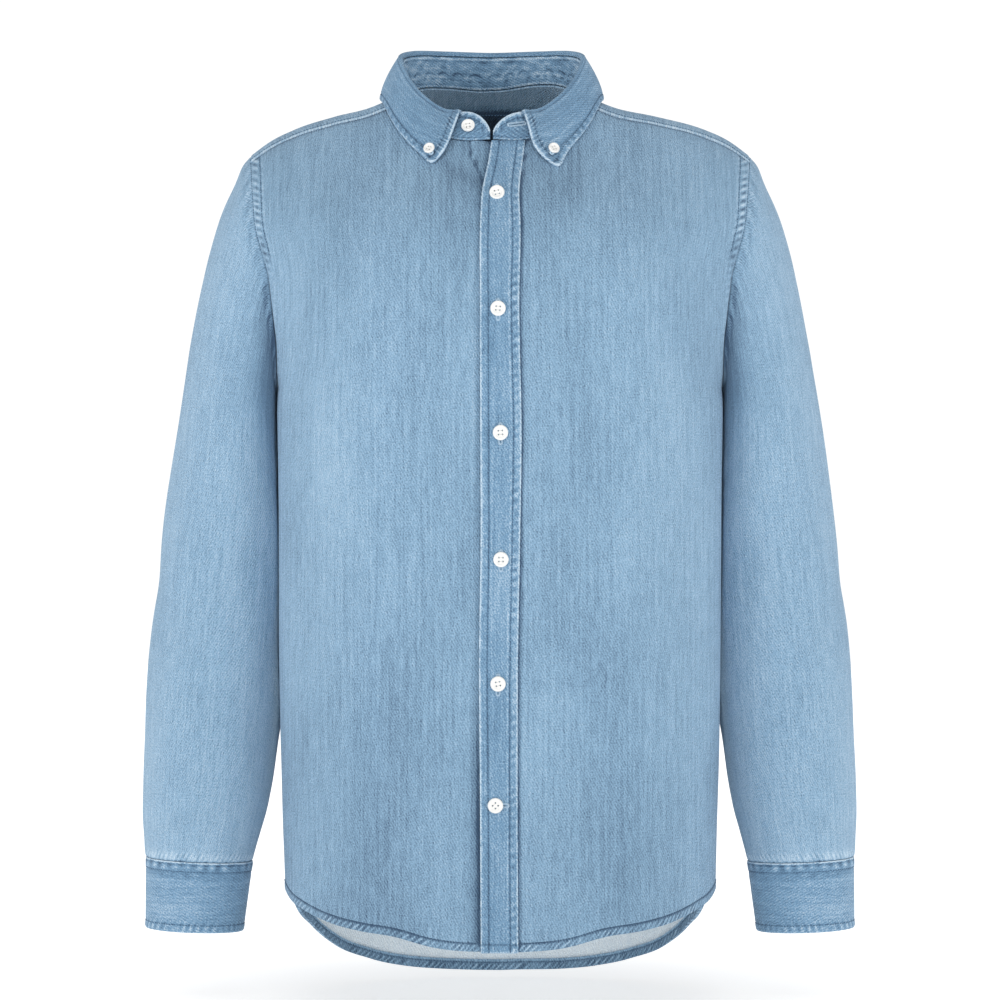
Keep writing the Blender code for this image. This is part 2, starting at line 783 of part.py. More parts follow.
def build_sleeve(name, wing):
    """A sleeve, from the armhole to its cuff."""
    turns = list(front_armhole_turns()[1:]) + list(yoke_armhole_turns()[1:]) + list(back_armhole_turns()[1:])
    rows = []
    for step in range(SLEEVE_ROWS + 1):
        points = [sleeve_point(step / SLEEVE_ROWS, turn) for turn in turns]
        rows.append([(wing * (p.x + 2 * SEAM_GAP), p.y, p.z) for p in points])
    middles = [[tuple(np.mean(row, axis=0))] for row in rows]
    wall(name, rows, SINGLE_CLOTH, np.array(middles), BODY_DENIM, (SEAM_GAP, 0, 0, 0), wraps=True)


def cuff_point(turn, up, out):
    """A point off the left cuff's outer face, by its turn and its share of the height."""
    angle = math.radians(turn)
    outward = (1 + math.cos(angle)) / 2
    ends = []
    for end in (CUFF_BOTTOM, CUFF_TOP):
        x = mix(end.inner_x, end.outer_x, outward)
        height = mix(end.inner_height, end.outer_height, outward)
        ends.append(Vector((x, end.reach * math.sin(angle), height)))
    half_width = (CUFF_TOP.outer_x - CUFF_TOP.inner_x) / 2
    normal = Vector((math.cos(angle) / half_width, math.sin(angle) / CUFF_TOP.reach, 0.0)).normalized()
    lift = smooth_step((turn - CUFF_LIFT_TURN) / (CUFF_LIFTED_TURN - CUFF_LIFT_TURN))
    lifted = (DOUBLE_CLOTH + LAYER_GAP + SEAM_GAP) * lift
    return ends[0].lerp(ends[1], up) + normal * (lifted + out)


def build_cuff(name, wing):
    """A cuff: a strip that overlaps itself at the back, with its lower corners rounded."""
    turns = list(np.linspace(CUFF_START_TURN, CUFF_END_TURN, CUFF_COLUMNS + 1))
    turns = [turns[0], turns[0] + 4, turns[0] + 9] + turns[1:-1] + [turns[-1] - 9, turns[-1] - 4, turns[-1]]
    turn_length = math.radians(1) * (CUFF_TOP.outer_x - CUFF_TOP.inner_x) / 2
    height = CUFF_TOP.outer_height - CUFF_BOTTOM.outer_height
    rows = []
    for step in range(CUFF_ROWS + 1):
        row = []
        for turn in turns:
            from_end = min(turn - CUFF_START_TURN, CUFF_END_TURN - turn) * turn_length
            short = 1 - min(from_end / CUFF_CORNER, 1.0)
            lowest = CUFF_CORNER * (1 - math.sqrt(1 - short * short)) / height
            row.append(cuff_point(turn, mix(lowest, 1.0, step / CUFF_ROWS), 0.0))
        rows.append([(wing * p.x, p.y, p.z) for p in row])
    middle = (wing * (CUFF_TOP.outer_x + CUFF_TOP.inner_x) / 2, 0.0, CUFF_TOP.outer_height)
    wall(name, rows, DOUBLE_CLOTH, middle, TRIM_DENIM)


def stand_point(turn, up, out=0.0):
    """The collar band's outer face, by the turn from the back's centre and the share of its height."""
    x = NECK_CENTRE + NECK_HALF_WIDTH * math.sin(math.radians(turn))
    curve = RIGHT_END_CURVE if turn < 0 else LEFT_END_CURVE
    from_end = abs(x - NECK_CENTRE) if abs(turn) > 90 else curve
    short = 1 - min(from_end / curve, 1.0)
    tall = math.sqrt(1 - short * short)
    seam = neck_point(turn) + Vector((0.0, 0.0, 2 * SEAM_GAP))
    angle = math.radians(turn)
    normal = Vector((math.sin(angle) / STAND_TOP_HALF_WIDTH, math.cos(angle) / STAND_TOP_HALF_DEPTH, 0.0))
    return seam.lerp(band_top_point(turn), up * tall) + normal.normalized() * out


def build_stand():
    """The collar band, from one rounded front end round the neck to the other."""
    right = [*STAND_END_TURNS, *neck_turns_on_front(RIGHT_FIRST_TURN)[1:], *neck_turns_on_yoke()[1:]]
    left = [*STAND_END_TURNS, 168.5, 164.0, *neck_turns_on_front(LEFT_FIRST_TURN), *neck_turns_on_yoke()[1:]]
    turns = [-turn for turn in right] + left[-2::-1]
    rows = []
    for step in range(STAND_ROWS + 1):
        rows.append([stand_point(turn, step / STAND_ROWS) for turn in turns])
    wall("collar_stand", rows, DOUBLE_CLOTH, (NECK_CENTRE, 0.0, 0.0), TRIM_DENIM)


class RollPoint(NamedTuple):
    """One station of the leaf's outer face over the band's top edge: outwards and up from the edge."""

    out: float
    up: float


ROLL = (
    RollPoint(-0.0019, 0.0010),
    RollPoint(-0.0018, 0.0028),
    RollPoint(-0.0004, 0.0049),
    RollPoint(0.0019, 0.0048),
    RollPoint(0.0032, 0.0024),
)


def leaf_edge_point(place):
    """The leaf's outer edge, by its place from the back's centre (0) to a point (1 or -1)."""
    across = column(LEAF_EDGE, "share", "across", abs(place))
    lean = column(LEAF_EDGE, "share", "lean", abs(place))
    x = NECK_CENTRE + math.copysign(across, place)
    return raised_shoulder_point(x, lean, DOUBLE_CLOTH + 2 * LAYER_GAP)


def leaf_points(place):
    """One column of the leaf's outer face, from the band's top edge over the fold to the outer edge."""
    turn = place * LEAF_END_ANGLE
    angle = math.radians(turn)
    out = Vector((math.sin(angle) / STAND_TOP_HALF_WIDTH, math.cos(angle) / STAND_TOP_HALF_DEPTH, 0.0))
    out.normalize()
    size = mix(1.0, 0.7, smooth_step((abs(place) - 0.7) / 0.3))
    top = stand_point(turn, 1.0)
    points = [top + out * r.out + Vector((0, 0, r.up * (size if i else 1.0))) for i, r in enumerate(ROLL)]
    start = points[-1]
    edge = leaf_edge_point(place)
    towards_centre = -math.copysign(0.0038, place) * abs(place) ** 8
    for step in range(1, LEAF_FALL_ROWS + 1):
        share = step / LEAF_FALL_ROWS
        arch = 4 * share * (1 - share)
        sway = Vector((towards_centre * arch, 0.0, 0.0))
        points.append(start.lerp(edge, share) + out * (LEAF_BULGE * arch) + sway)
    return points


def build_leaf():
    """The collar leaf, from one point round the neck to the other."""
    places = [i / LEAF_COLUMNS for i in range(-LEAF_COLUMNS, LEAF_COLUMNS + 1)]
    columns = [leaf_points(place) for place in places]
    wall("collar_leaf", columns, DOUBLE_CLOTH - 0.0002, (NECK_CENTRE, 0.0, -0.05), TRIM_DENIM)


def placket_point(height, share, out=0.0):
    """The placket's outer face, by height and by the share of the way to its sewn edge."""
    free = column(PLACKET, "height", "free_edge", height)
    sewn = column(PLACKET, "height", "sewn_edge", height)
    return raised_front_point(mix(free, sewn, share), height, PLACKET_PROUD + out)


def build_placket():
    """The placket strip, from the hem to the neck seam."""
    low = [mix(hem_height(0.0, -1), UNDERARM_HEIGHT, i / BODY_ROWS) for i in range(BODY_ROWS)]
    high = [mix(UNDERARM_HEIGHT, neck_place(180.0)[1], i / CENTRE_ROWS) for i in range(CENTRE_ROWS + 1)]
    shares = [i / PLACKET_COLUMNS for i in range(PLACKET_COLUMNS + 1)]
    rows = [[placket_point(height, share) for share in shares] for height in low + high]
    wall("placket", rows, DOUBLE_CLOTH, BODY_INSIDE, TRIM_DENIM, (0, 4 * SEAM_GAP, 0, SEAM_GAP))


def build_button(name, place, normal, radius):
    """A button with a raised rim, its back on a face at a place."""
    profile = (
        (0.0, 0.0),
        (radius * 0.90, 0.0),
        (radius, BUTTON_HEIGHT * 0.45),
        (radius * 0.90, BUTTON_HEIGHT),
        (radius * 0.72, BUTTON_HEIGHT * 0.92),
        (radius * 0.58, BUTTON_HEIGHT * 0.62),
        (0.0, BUTTON_HEIGHT * 0.62),
    )
    builder = bmesh.new()
    points = [builder.verts.new((across, 0.0, up)) for across, up in profile]
    for first, second in zip(points, points[1:]):
        builder.edges.new((first, second))
    bmesh.ops.spin(builder, geom=builder.verts[:] + builder.edges[:], cent=(0, 0, 0), axis=(0, 0, 1),
                   angle=2 * math.pi, steps=BUTTON_SEGMENTS, use_merge=True)
    bmesh.ops.remove_doubles(builder, verts=builder.verts, dist=1e-6)
    bmesh.ops.recalc_face_normals(builder, faces=builder.faces)
    button = finished(name, builder, WHITE_BUTTON)
    button.location = place
    button.rotation_euler = Vector(normal).to_track_quat("Z", "Y").to_euler()


def facing(point, beside, above):
    """The outward direction of a face, from a point of it and the points beside and above."""
    return (beside - point).cross(above - point).normalized()


def build_buttons():
    """The front buttons, the band's, the two at the collar's points and one on each cuff."""
    for number, button in enumerate(PLACKET_BUTTONS, 1):
        up = raised_front_point(button.across, button.height + 0.002, PLACKET_PROUD)
        point = raised_front_point(button.across, button.height, PLACKET_PROUD)
        beside = raised_front_point(button.across + 0.002, button.height, PLACKET_PROUD)
        normal = facing(point, beside, up)
        build_button(f"placket_button_{number}", point + normal * button.lift, normal, BUTTON_RADIUS)
    point = stand_point(BAND_BUTTON_TURN, BAND_BUTTON_SHARE)
    beside = stand_point(BAND_BUTTON_TURN + 3.0, BAND_BUTTON_SHARE)
    above = stand_point(BAND_BUTTON_TURN, BAND_BUTTON_SHARE + 0.1)
    normal = facing(point, above, beside)
    build_button("band_button", point + normal * (2 * SEAM_GAP), normal, BUTTON_RADIUS)
    for name, wing in (("point_button_right", -1), ("point_button_left", 1)):
        place = wing * POINT_BUTTON_PLACE
        step = POINT_BUTTON_FALL * LEAF_FALL_ROWS
        along = leaf_points(place)[len(ROLL) - 1:]
        inner = leaf_points(place * 0.97)[len(ROLL) - 1:]
        low = int(step)
        point = along[low].lerp(along[low + 1], step - low)
        beside = inner[low].lerp(inner[low + 1], step - low)
        normal = facing(point, along[low], beside) * wing
        if normal.y > 0:
            normal = -normal
        build_button(name, point + normal * (2 * SEAM_GAP), normal, POINT_BUTTON_RADIUS)
    for name, wing in (("cuff_button_right", -1), ("cuff_button_left", 1)):
        point = cuff_point(CUFF_BUTTON_TURN, 0.5, 0.0)
        normal = cuff_point(CUFF_BUTTON_TURN, 0.5, 1.0) - point
        place = point + normal * (3 * SEAM_GAP)
        mirrored = Vector((wing * normal.x, normal.y, normal.z))
        build_button(name, (wing * place.x, place.y, place.z), mirrored, BUTTON_RADIUS)


clear_scene()
build_fronts()
build_back()
build_yoke()
for side_name, side_wing in (("right", -1), ("left", 1)):
    build_sleeve(f"sleeve_{side_name}", side_wing)
    build_cuff(f"cuff_{side_name}", side_wing)
build_stand()
build_leaf()
build_placket()
build_buttons()
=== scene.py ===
"""Dresses the denim shirt: thin sewn panels with their seams, stitches, buttonholes and buttons."""

import json
import logging
import math
from dataclasses import dataclass, field, replace
from enum import Enum
from typing import Any, ClassVar, NamedTuple, Sequence

import bmesh
import bpy
import numpy as np
from bpy.types import Material, Mesh, Node, NodeSocket, NodeTree, Object
from mathutils import Matrix, Vector

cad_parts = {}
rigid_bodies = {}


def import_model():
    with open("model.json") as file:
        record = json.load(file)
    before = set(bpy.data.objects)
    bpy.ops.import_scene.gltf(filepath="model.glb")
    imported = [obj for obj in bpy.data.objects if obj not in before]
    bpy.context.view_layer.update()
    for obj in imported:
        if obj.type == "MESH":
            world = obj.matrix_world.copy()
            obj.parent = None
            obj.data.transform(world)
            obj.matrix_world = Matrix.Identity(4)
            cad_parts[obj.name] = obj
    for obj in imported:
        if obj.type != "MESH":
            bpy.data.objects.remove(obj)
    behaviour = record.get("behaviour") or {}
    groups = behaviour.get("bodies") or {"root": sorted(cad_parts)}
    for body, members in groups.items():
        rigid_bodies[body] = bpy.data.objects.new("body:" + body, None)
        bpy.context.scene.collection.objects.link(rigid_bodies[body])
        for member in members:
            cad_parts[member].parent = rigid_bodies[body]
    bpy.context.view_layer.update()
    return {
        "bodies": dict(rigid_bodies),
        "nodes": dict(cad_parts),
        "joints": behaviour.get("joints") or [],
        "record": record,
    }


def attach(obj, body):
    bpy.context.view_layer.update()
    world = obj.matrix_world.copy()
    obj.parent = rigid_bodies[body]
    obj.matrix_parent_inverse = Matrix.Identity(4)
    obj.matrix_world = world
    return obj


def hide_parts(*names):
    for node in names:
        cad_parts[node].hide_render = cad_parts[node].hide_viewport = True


Array = np.ndarray
LOG = logging.getLogger("denim_shirt")
BODY = "root"
COLOUR_PER_METRE = 1100.0


def smooth_curve(keys: Sequence[float], values: Sequence[float], places: Array) -> Array:
    """Reads a smooth curve at many places.

    Args:
        keys: Rising places where the curve is known.
        values: The curve's values there.
        places: Where the curve is read.

    Returns:
        The curve's values at the places.
    """
    keys = np.asarray(keys, float)
    values = np.asarray(values, float)
    slopes = np.gradient(values, keys)
    places = np.clip(places, keys[0], keys[-1])
    at = np.clip(np.searchsorted(keys, places, side="right") - 1, 0, len(keys) - 2)
    step = keys[at + 1] - keys[at]
    t = (places - keys[at]) / step
    start = (1 + 2 * t) * (1 - t) ** 2 * values[at] + t * (1 - t) ** 2 * step * slopes[at]
    end = t * t * (3 - 2 * t) * values[at + 1] - t * t * (1 - t) * step * slopes[at + 1]
    return start + end


def mix(first: Array, second: Array, share: Array) -> Array:
    """Returns the value a share of the way from the first to the second."""
    return first + (second - first) * share


def ramp(value: Array, low: float = 0.0, high: float = 1.0) -> Array:
    """Returns a soft step from 0 at low to 1 at high, which may lie below low."""
    t = np.clip((np.asarray(value, float) - low) / (high - low), 0, 1)
    return t * t * (3 - 2 * t)


def bump(value: Array, middle: float, half_width: float) -> Array:
    """Returns a soft bell of height 1."""
    return np.exp(-(((np.asarray(value, float) - middle) / half_width) ** 2))


def unit(vectors: Array) -> Array:
    """Returns the vectors at length 1."""
    return vectors / np.maximum(np.linalg.norm(vectors, axis=-1, keepdims=True), 1e-12)


def wander(places: Array, seed: int, spacing: float) -> Array:
    """Smooth random values along a line.

    Args:
        places: Where they are read, in metres.
        seed: Which line of values it is.
        spacing: How far apart the values turn, in metres.

    Returns:
        Values of about -1 to 1.
    """
    at = np.asarray(places, float) / spacing + 1000.0 + seed * 7.3
    low = np.floor(at)
    share = ramp(at - low)

    def value(cell: Array) -> Array:
        wave = np.sin(cell * 12.9898 + seed * 78.233) * 43758.5453
        return 2 * (wave - np.floor(wave)) - 1

    return mix(value(low), value(low + 1), share)


def uneven(share: float, places: Array, seed: int, spacing: float) -> Array:
    """Returns 1 at the most along a line, and less by up to twice the share at random."""
    return 1 - share + share * wander(places, seed, spacing)


def cloud(u: Array, v: Array, seed: int, spacing_u: float, spacing_v: float) -> Array:
    """Smooth random values over a surface.

    Args:
        u: Places across, in metres.
        v: Places along, in metres.
        seed: Which field of values it is.
        spacing_u: How far apart they turn across.
        spacing_v: How far apart they turn along.

    Returns:
        Values of about -1 to 1.
    """
    a = np.asarray(u, float) / spacing_u + 500.0
    b = np.asarray(v, float) / spacing_v + 500.0
    low_a, low_b = np.floor(a), np.floor(b)
    share_a, share_b = ramp(a - low_a), ramp(b - low_b)

    def value(i: Array, j: Array) -> Array:
        wave = np.sin(i * 127.1 + j * 311.7 + seed * 74.7) * 43758.5453
        return 2 * (wave - np.floor(wave)) - 1

    near = mix(value(low_a, low_b), value(low_a + 1, low_b), share_a)
    far = mix(value(low_a, low_b + 1), value(low_a + 1, low_b + 1), share_a)
    return mix(near, far, share_b)


def warp_place(x: Array) -> Array:
    """Returns how far from the middle the cloth's upright yarns lie at places across the torso."""
    away = np.abs(x)
    return np.sign(x) * (away + 4.5 * np.maximum(away - 0.1, 0.0) ** 2)


def stations(length: float, coarse: float, fine_start: bool = False, fine_end: bool = False) -> Array:
    """Places along a line, closer together beside a sewn edge.

    Args:
        length: The line's length in metres.
        coarse: The spacing away from the edges.
        fine_start: Whether an edge with fine detail is at the start.
        fine_end: Whether one is at the end.

    Returns:
        An odd number of rising shares from 0 to 1.
    """
    fine = np.array([0, 0.4, 0.8, 1.3, 1.9, 2.6, 3.4, 4.3, 5.2, 6.1, 7.0, 8.0, 9.0, 10.2, 11.6, 13.2]) / 1000
    start = fine if fine_start else fine[:1]
    end = length - fine[::-1] if fine_end else np.array([length])
    count = max(2, int(round((end[0] - start[-1]) / coarse)))
    middle = np.linspace(start[-1], end[0], count + 1)[1:-1]
    places = np.concatenate([start, middle, end])
    if len(places) % 2 == 0:
        middle = np.linspace(start[-1], end[0], count + 2)[1:-1]
        places = np.concatenate([start, middle, end])
    return places / length


def arc_lengths(points: Array) -> Array:
    """Returns how far along a line each of its points lies."""
    return np.concatenate([[0.0], np.cumsum(np.linalg.norm(np.diff(points, axis=0), axis=1))])


@dataclass(frozen=True)
class Table:
    """Sizes by place, with named columns that are read as smooth curves of the first one."""

    names: str
    rows: tuple[tuple[float, ...], ...]

    def read(self, name: str, places: Array) -> Array:
        """Returns one column's values at places in the first column."""
        at = self.names.split().index(name)
        keys, values = zip(*((row[0], row[at]) for row in sorted(self.rows)))
        return smooth_curve(keys, values, places)


def row_lengths(points: Array) -> Array:
    """Returns how far along its row each point of a grid lies."""
    steps = np.linalg.norm(np.diff(points, axis=1), axis=2)
    return np.concatenate([np.zeros((len(steps), 1)), np.cumsum(steps, axis=1)], axis=1)


def sampled(at: Array, run: Array, points: Array) -> Array:
    """Returns the points of a line at distances along it."""
    return np.stack([np.interp(at, run, points[:, k]) for k in range(3)], axis=-1)


def facing(point: Array, beside: Array, above: Array) -> Array:
    """Returns the direction that a face looks in, by three places on it."""
    return unit(np.cross(beside - point, above - point))


def frontward(normal: Array) -> Array:
    """Returns a direction, turned round where it looks backwards."""
    return -normal if normal[1] > 0 else normal


def placed(name: str, mesh: Mesh, finish: Material | None = None) -> Object:
    """Returns a new object in the scene, with its finish."""
    if finish:
        mesh.materials.clear()
        mesh.materials.append(finish)
    piece = bpy.data.objects.new(name, mesh)
    bpy.context.collection.objects.link(piece)
    return piece


class CuffEnd(NamedTuple):
    """The top or the bottom edge of a cuff."""

    outer_x: float
    outer_height: float
    inner_x: float
    inner_height: float
    reach: float


class Fold(NamedTuple):
    """A soft trough (or, with a negative depth, a ridge) that runs down the torso."""

    side: int
    across: float
    top_height: float
    bottom_height: float
    half_width: float
    depth: float


class Crease(NamedTuple):
    """A soft trough on a sleeve: its place down and round it, its slant, sizes and depth."""

    down: float
    turn: float
    slant: float
    length: float
    half_width: float
    depth: float


@dataclass(frozen=True)
class BodyForm:
    """The shape of the worn shirt's torso, shoulders and neck, which its panels and collar follow."""

    underarm_height: float = -0.24
    side_hem_height: float = -0.662
    shoulder_drop: float = 0.16
    fullness: float = 2.3
    back_yoke_height: float = -0.095
    armhole_top_x: float = 0.212
    armhole_top_height: float = -0.043
    armhole_bottom_x: float = 0.19
    armhole_front_depth: float = 0.054
    armhole_back_depth: float = 0.064
    yoke_front_station: float = -22.5
    neck_centre: float = -0.007
    neck_half_width: float = 0.078
    yoke_neck_angle: float = 104.0
    stand_top_half_width: float = 0.077
    stand_top_centre_y: float = -0.008
    stand_top_half_depth: float = 0.054
    torso: Table = Table("height half_width front_depth back_depth", (
        (-0.76, 0.1805, 0.134, 0.127), (-0.66, 0.1822, 0.133, 0.125),
        (-0.51, 0.1862, 0.131, 0.121), (-0.4, 0.1875, 0.132, 0.118),
        (-0.29, 0.1887, 0.134, 0.121), (-0.24, 0.19, 0.135, 0.126),
        (-0.16, 0.198, 0.129, 0.125), (-0.095, 0.205, 0.112, 0.117),
        (-0.037, 0.212, 0.085, 0.106), (0.04, 0.212, 0.081, 0.1),
    ))
    ridge: Table = Table("across height", (
        (0.0, 0.036), (0.03, 0.034), (0.055, 0.026),
        (0.078, 0.01), (0.102, -0.001), (0.137, -0.0094),
        (0.173, -0.02), (0.195, -0.0305), (0.212, -0.043),
    ))
    neck: Table = Table("turn seam_lean band_height", (
        (0.0, 27.0, 0.0458), (30.0, 21.5, 0.0461), (60.0, 9.0, 0.044),
        (80.0, -2.0, 0.0395), (92.0, -10.5, 0.0355), (106.0, -22.0, 0.025),
        (120.0, -33.0, 0.0115), (135.0, -45.0, -0.002), (149.0, -53.0, -0.0112),
        (160.0, -56.0, -0.0112), (180.0, -56.4, -0.012),
    ))
    hem: Table = Table("share front_height back_height", (
        (0.0, -0.7032, -0.7506), (0.3, -0.699, -0.749), (0.47, -0.6915, -0.745),
        (0.63, -0.688, -0.738), (0.79, -0.682, -0.724), (0.9, -0.6745, -0.704),
        (0.96, -0.669, -0.687), (1.0, -0.662, -0.662),
    ))
    placket: Table = Table("height free_edge sewn_edge under_edge", (
        (-0.704, -0.0156, 0.0152, 0.014), (-0.58, -0.0163, 0.0146, 0.014),
        (-0.46, -0.017, 0.015, 0.014), (-0.37, -0.0158, 0.0166, 0.014),
        (-0.28, -0.016, 0.0178, 0.014), (-0.17, -0.0163, 0.016, 0.0138),
        (-0.107, -0.0162, 0.017, 0.013), (-0.0815, -0.0148, 0.0162, 0.008),
        (-0.0545, -0.0096, 0.019, -0.006), (-0.0355, -0.0068, 0.0214, -0.0074),
    ))
    folds: tuple[Fold, ...] = tuple(map(Fold._make, (
        (-1, -0.098, -0.42, -0.76, 0.02, 0.0028), (-1, 0.09, -0.45, -0.76, 0.022, 0.0024),
        (-1, -0.15, -0.22, -0.6, 0.016, 0.0016), (-1, 0.158, -0.24, -0.58, 0.015, 0.0018),
        (1, -0.085, -0.16, -0.74, 0.024, 0.0042), (1, 0.07, -0.19, -0.76, 0.027, 0.0048),
        (1, -0.01, -0.36, -0.76, 0.02, 0.0026), (1, 0.142, -0.26, -0.7, 0.018, 0.003),
        (1, -0.15, -0.3, -0.66, 0.016, 0.0026),
    )))

    @property
    def middle(self) -> Array:
        """A point inside the torso, which every panel looks away from."""
        return np.array([0.0, 0.0, -0.3])

    def ridge_height(self, x: Array) -> Array:
        """Returns the height of the shoulder ridge above places across."""
        off_centre = self.neck_centre * ramp(np.abs(x), 0.19, 0.09)
        return self.ridge.read("height", np.minimum(np.abs(x - off_centre), self.armhole_top_x))

    def armhole(self, turn: Array) -> tuple[Array, Array, Array]:
        """Returns x, y and z on the left armhole: 0 at the shoulder, 180 underneath, negative in front."""
        angle = np.radians(turn)
        outward = (1 + np.cos(angle)) / 2
        x = mix(self.armhole_bottom_x, self.armhole_top_x, outward)
        height = mix(self.underarm_height, self.armhole_top_height, outward)
        depth = np.where(np.asarray(turn) < 0, self.armhole_front_depth, self.armhole_back_depth)
        return x, depth * np.sin(angle), height

    def lean_share(self, x: Array, height: Array) -> Array:
        """Returns how much of its depth the torso's section has as it rounds over to the ridge."""
        below = np.clip(self.ridge_height(x) - height, 0.0, self.shoulder_drop)
        return np.sqrt(1 - (1 - below / self.shoulder_drop) ** 2)

    def depth_at(self, height: Array, side: Array) -> Array:
        """Returns the torso's depth at its middle, in front (-1) or behind (1)."""
        front = self.torso.read("front_depth", height)
        back = self.torso.read("back_depth", height)
        return np.where(np.asarray(side) < 0, front, back)

    def armhole_turn(self, height: Array, side: Array) -> Array:
        """Returns the armhole's station at a height, on its front (-1) or back (1) half."""
        share = (height - self.underarm_height) / (self.armhole_top_height - self.underarm_height)
        return side * np.degrees(np.arccos(2 * np.clip(share, 0.0, 1.0) - 1))

    def panel_edge(self, height: Array) -> Array:
        """Returns how far from the centre a panel ends at a height."""
        below = self.torso.read("half_width", height)
        above = self.armhole(self.armhole_turn(height, 1.0))[0]
        return np.where(height <= self.underarm_height, below, above)

    def section_width(self, height: Array, side: Array) -> Array:
        """Returns half the width of the whole section, through the armhole above the underarm."""
        raised = np.clip(height, self.underarm_height, self.armhole_top_height - 0.001)
        x, y, _ = self.armhole(self.armhole_turn(raised, side))
        depth = self.depth_at(raised, side) * self.lean_share(x, raised)
        above = x / (1 - (np.abs(y) / depth) ** self.fullness) ** (1 / self.fullness)
        return np.where(height <= self.underarm_height, self.panel_edge(height), above)

    def fold_depth(self, x: Array, height: Array, side: Array) -> Array:
        """Returns how far the soft folds draw the torso in."""
        total = np.zeros(np.broadcast(x, height).shape)
        for fold in self.folds:
            along = (fold.top_height - height) / (fold.top_height - fold.bottom_height)
            drawn = fold.depth * bump(x - fold.across, 0.0, fold.half_width) * ramp(along * 2.5)
            total = total + np.where(np.asarray(side) == fold.side, drawn, 0.0)
        return total

    def torso_point(self, x: Array, height: Array, side: Array) -> Array:
        """Returns the torso's outer face at places across and heights, on the front (-1) or back (1)."""
        x, height = np.broadcast_arrays(np.asarray(x, float), np.asarray(height, float))
        share = np.minimum(np.abs(x) / self.section_width(height, side), 1.0)
        full = (1 - share**self.fullness) ** (1 / self.fullness)
        depth = self.depth_at(height, side) * self.lean_share(x, height) - self.fold_depth(x, height, side)
        return np.stack([x, side * depth * full, height], axis=-1)

    def shoulder_point(self, x: Array, lean: Array) -> Array:
        """Returns the outer face on the shoulders, by the lean of its section from the ridge in degrees."""
        x, lean = np.broadcast_arrays(np.asarray(x, float), np.asarray(lean, float))
        return self.torso_point(x, self.lean_height(x, lean), np.where(lean < 0, -1.0, 1.0))

    def lean_height(self, x: Array, lean: Array) -> Array:
        """Returns the height on the shoulders at a lean from the ridge in degrees."""
        return self.ridge_height(x) - self.shoulder_drop * (1 - np.cos(np.radians(lean)))

    def lean_at(self, x: Array, height: Array, side: Array) -> Array:
        """Returns the lean of the torso's section at places across and heights on the shoulders."""
        below = np.clip(self.ridge_height(x) - height, 0.0, self.shoulder_drop)
        return side * np.degrees(np.arccos(1 - below / self.shoulder_drop))

    def raised_front(self, x: Array, height: Array, out: Array) -> Array:
        """Returns points off the fronts' outer face."""
        x, height = np.broadcast_arrays(np.asarray(x, float), np.asarray(height, float))
        across = self.torso_point(x + 0.002, height, -1.0) - self.torso_point(x - 0.002, height, -1.0)
        up = self.torso_point(x, height + 0.002, -1.0) - self.torso_point(x, height - 0.002, -1.0)
        normal = unit(np.cross(across, up))
        return self.torso_point(x, height, -1.0) + normal * np.asarray(out)[..., None]

    def raised_shoulder(self, x: Array, lean: Array, out: float) -> Array:
        """Returns points off the shoulders' outer face."""
        x, lean = np.broadcast_arrays(np.asarray(x, float), np.asarray(lean, float))
        across = self.shoulder_point(x + 0.002, lean) - self.shoulder_point(x - 0.002, lean)
        over = self.shoulder_point(x, lean + 2.0) - self.shoulder_point(x, lean - 2.0)
        return self.shoulder_point(x, lean) + unit(np.cross(across, over)) * out

    @staticmethod
    def drawn_in(points: Array) -> Array:
        """Returns points drawn in a little where the fronts and the sleeve heads hang close to the body."""
        away, down = np.abs(points[..., 0]), -points[..., 2]
        beside = ramp(away, 0.1, 0.185) * ramp(away, 0.252, 0.2)
        inward = 0.0066 * beside * ramp(down, 0.1, 0.152) * ramp(down, 0.262, 0.195)
        inward = inward + 0.0034 * bump(away, 0.229, 0.013) * bump(down, 0.062, 0.022)
        return points - np.stack([np.sign(points[..., 0]) * inward, 0 * away, 0 * away], axis=-1)

    def neck_lean(self, turn: Array) -> Array:
        """Returns the neck seam's lean at turns from the back's centre, a little lower on the right."""
        away = np.abs(turn)
        sloped = 1.5 * bump(turn, -38.0, 32.0) - 0.9 * bump(turn, 38.0, 32.0)
        return self.neck.read("seam_lean", away * ramp(away, 0.0, 28.0)) + sloped

    def neck_place(self, turn: Array) -> tuple[Array, Array]:
        """Returns the neck seam in the front view: places across and heights."""
        x = self.neck_centre + self.neck_half_width * np.sin(np.radians(turn))
        return x, self.lean_height(x, self.neck_lean(turn))

    def neck_point(self, turn: Array) -> Array:
        """Returns the neck seam on the torso's outer face."""
        return self.shoulder_point(self.neck_place(turn)[0], self.neck_lean(turn))

    def neck_outward(self, turn: Array) -> Array:
        """Returns the level direction out of the collar band."""
        angle = np.radians(turn)
        out = np.stack([
            np.sin(angle) / self.stand_top_half_width,
            np.cos(angle) / self.stand_top_half_depth,
            np.zeros_like(angle),
        ], axis=-1)
        return unit(out)

    def band_top(self, turn: Array) -> Array:
        """Returns the top edge of the collar band's outer face, before its ends are rounded."""
        angle = np.radians(turn)
        x = self.neck_centre + self.stand_top_half_width * np.sin(angle)
        y = self.stand_top_centre_y + self.stand_top_half_depth * np.cos(angle)
        return np.stack([x, y, self.neck.read("band_height", np.abs(turn))], axis=-1)

    def hem_height(self, x: Array, side: float) -> Array:
        """Returns the height of the front (-1) or the back (1) hem at places across."""
        half = self.torso.read("half_width", np.array(self.side_hem_height))
        share = np.minimum(np.abs(x) / half, 1.0)
        return self.hem.read("front_height" if side < 0 else "back_height", share)

    def corner_turn(self) -> float:
        """Returns the armhole's station where the back yoke seam meets it."""
        return float(self.armhole_turn(np.array(self.back_yoke_height), 1.0))


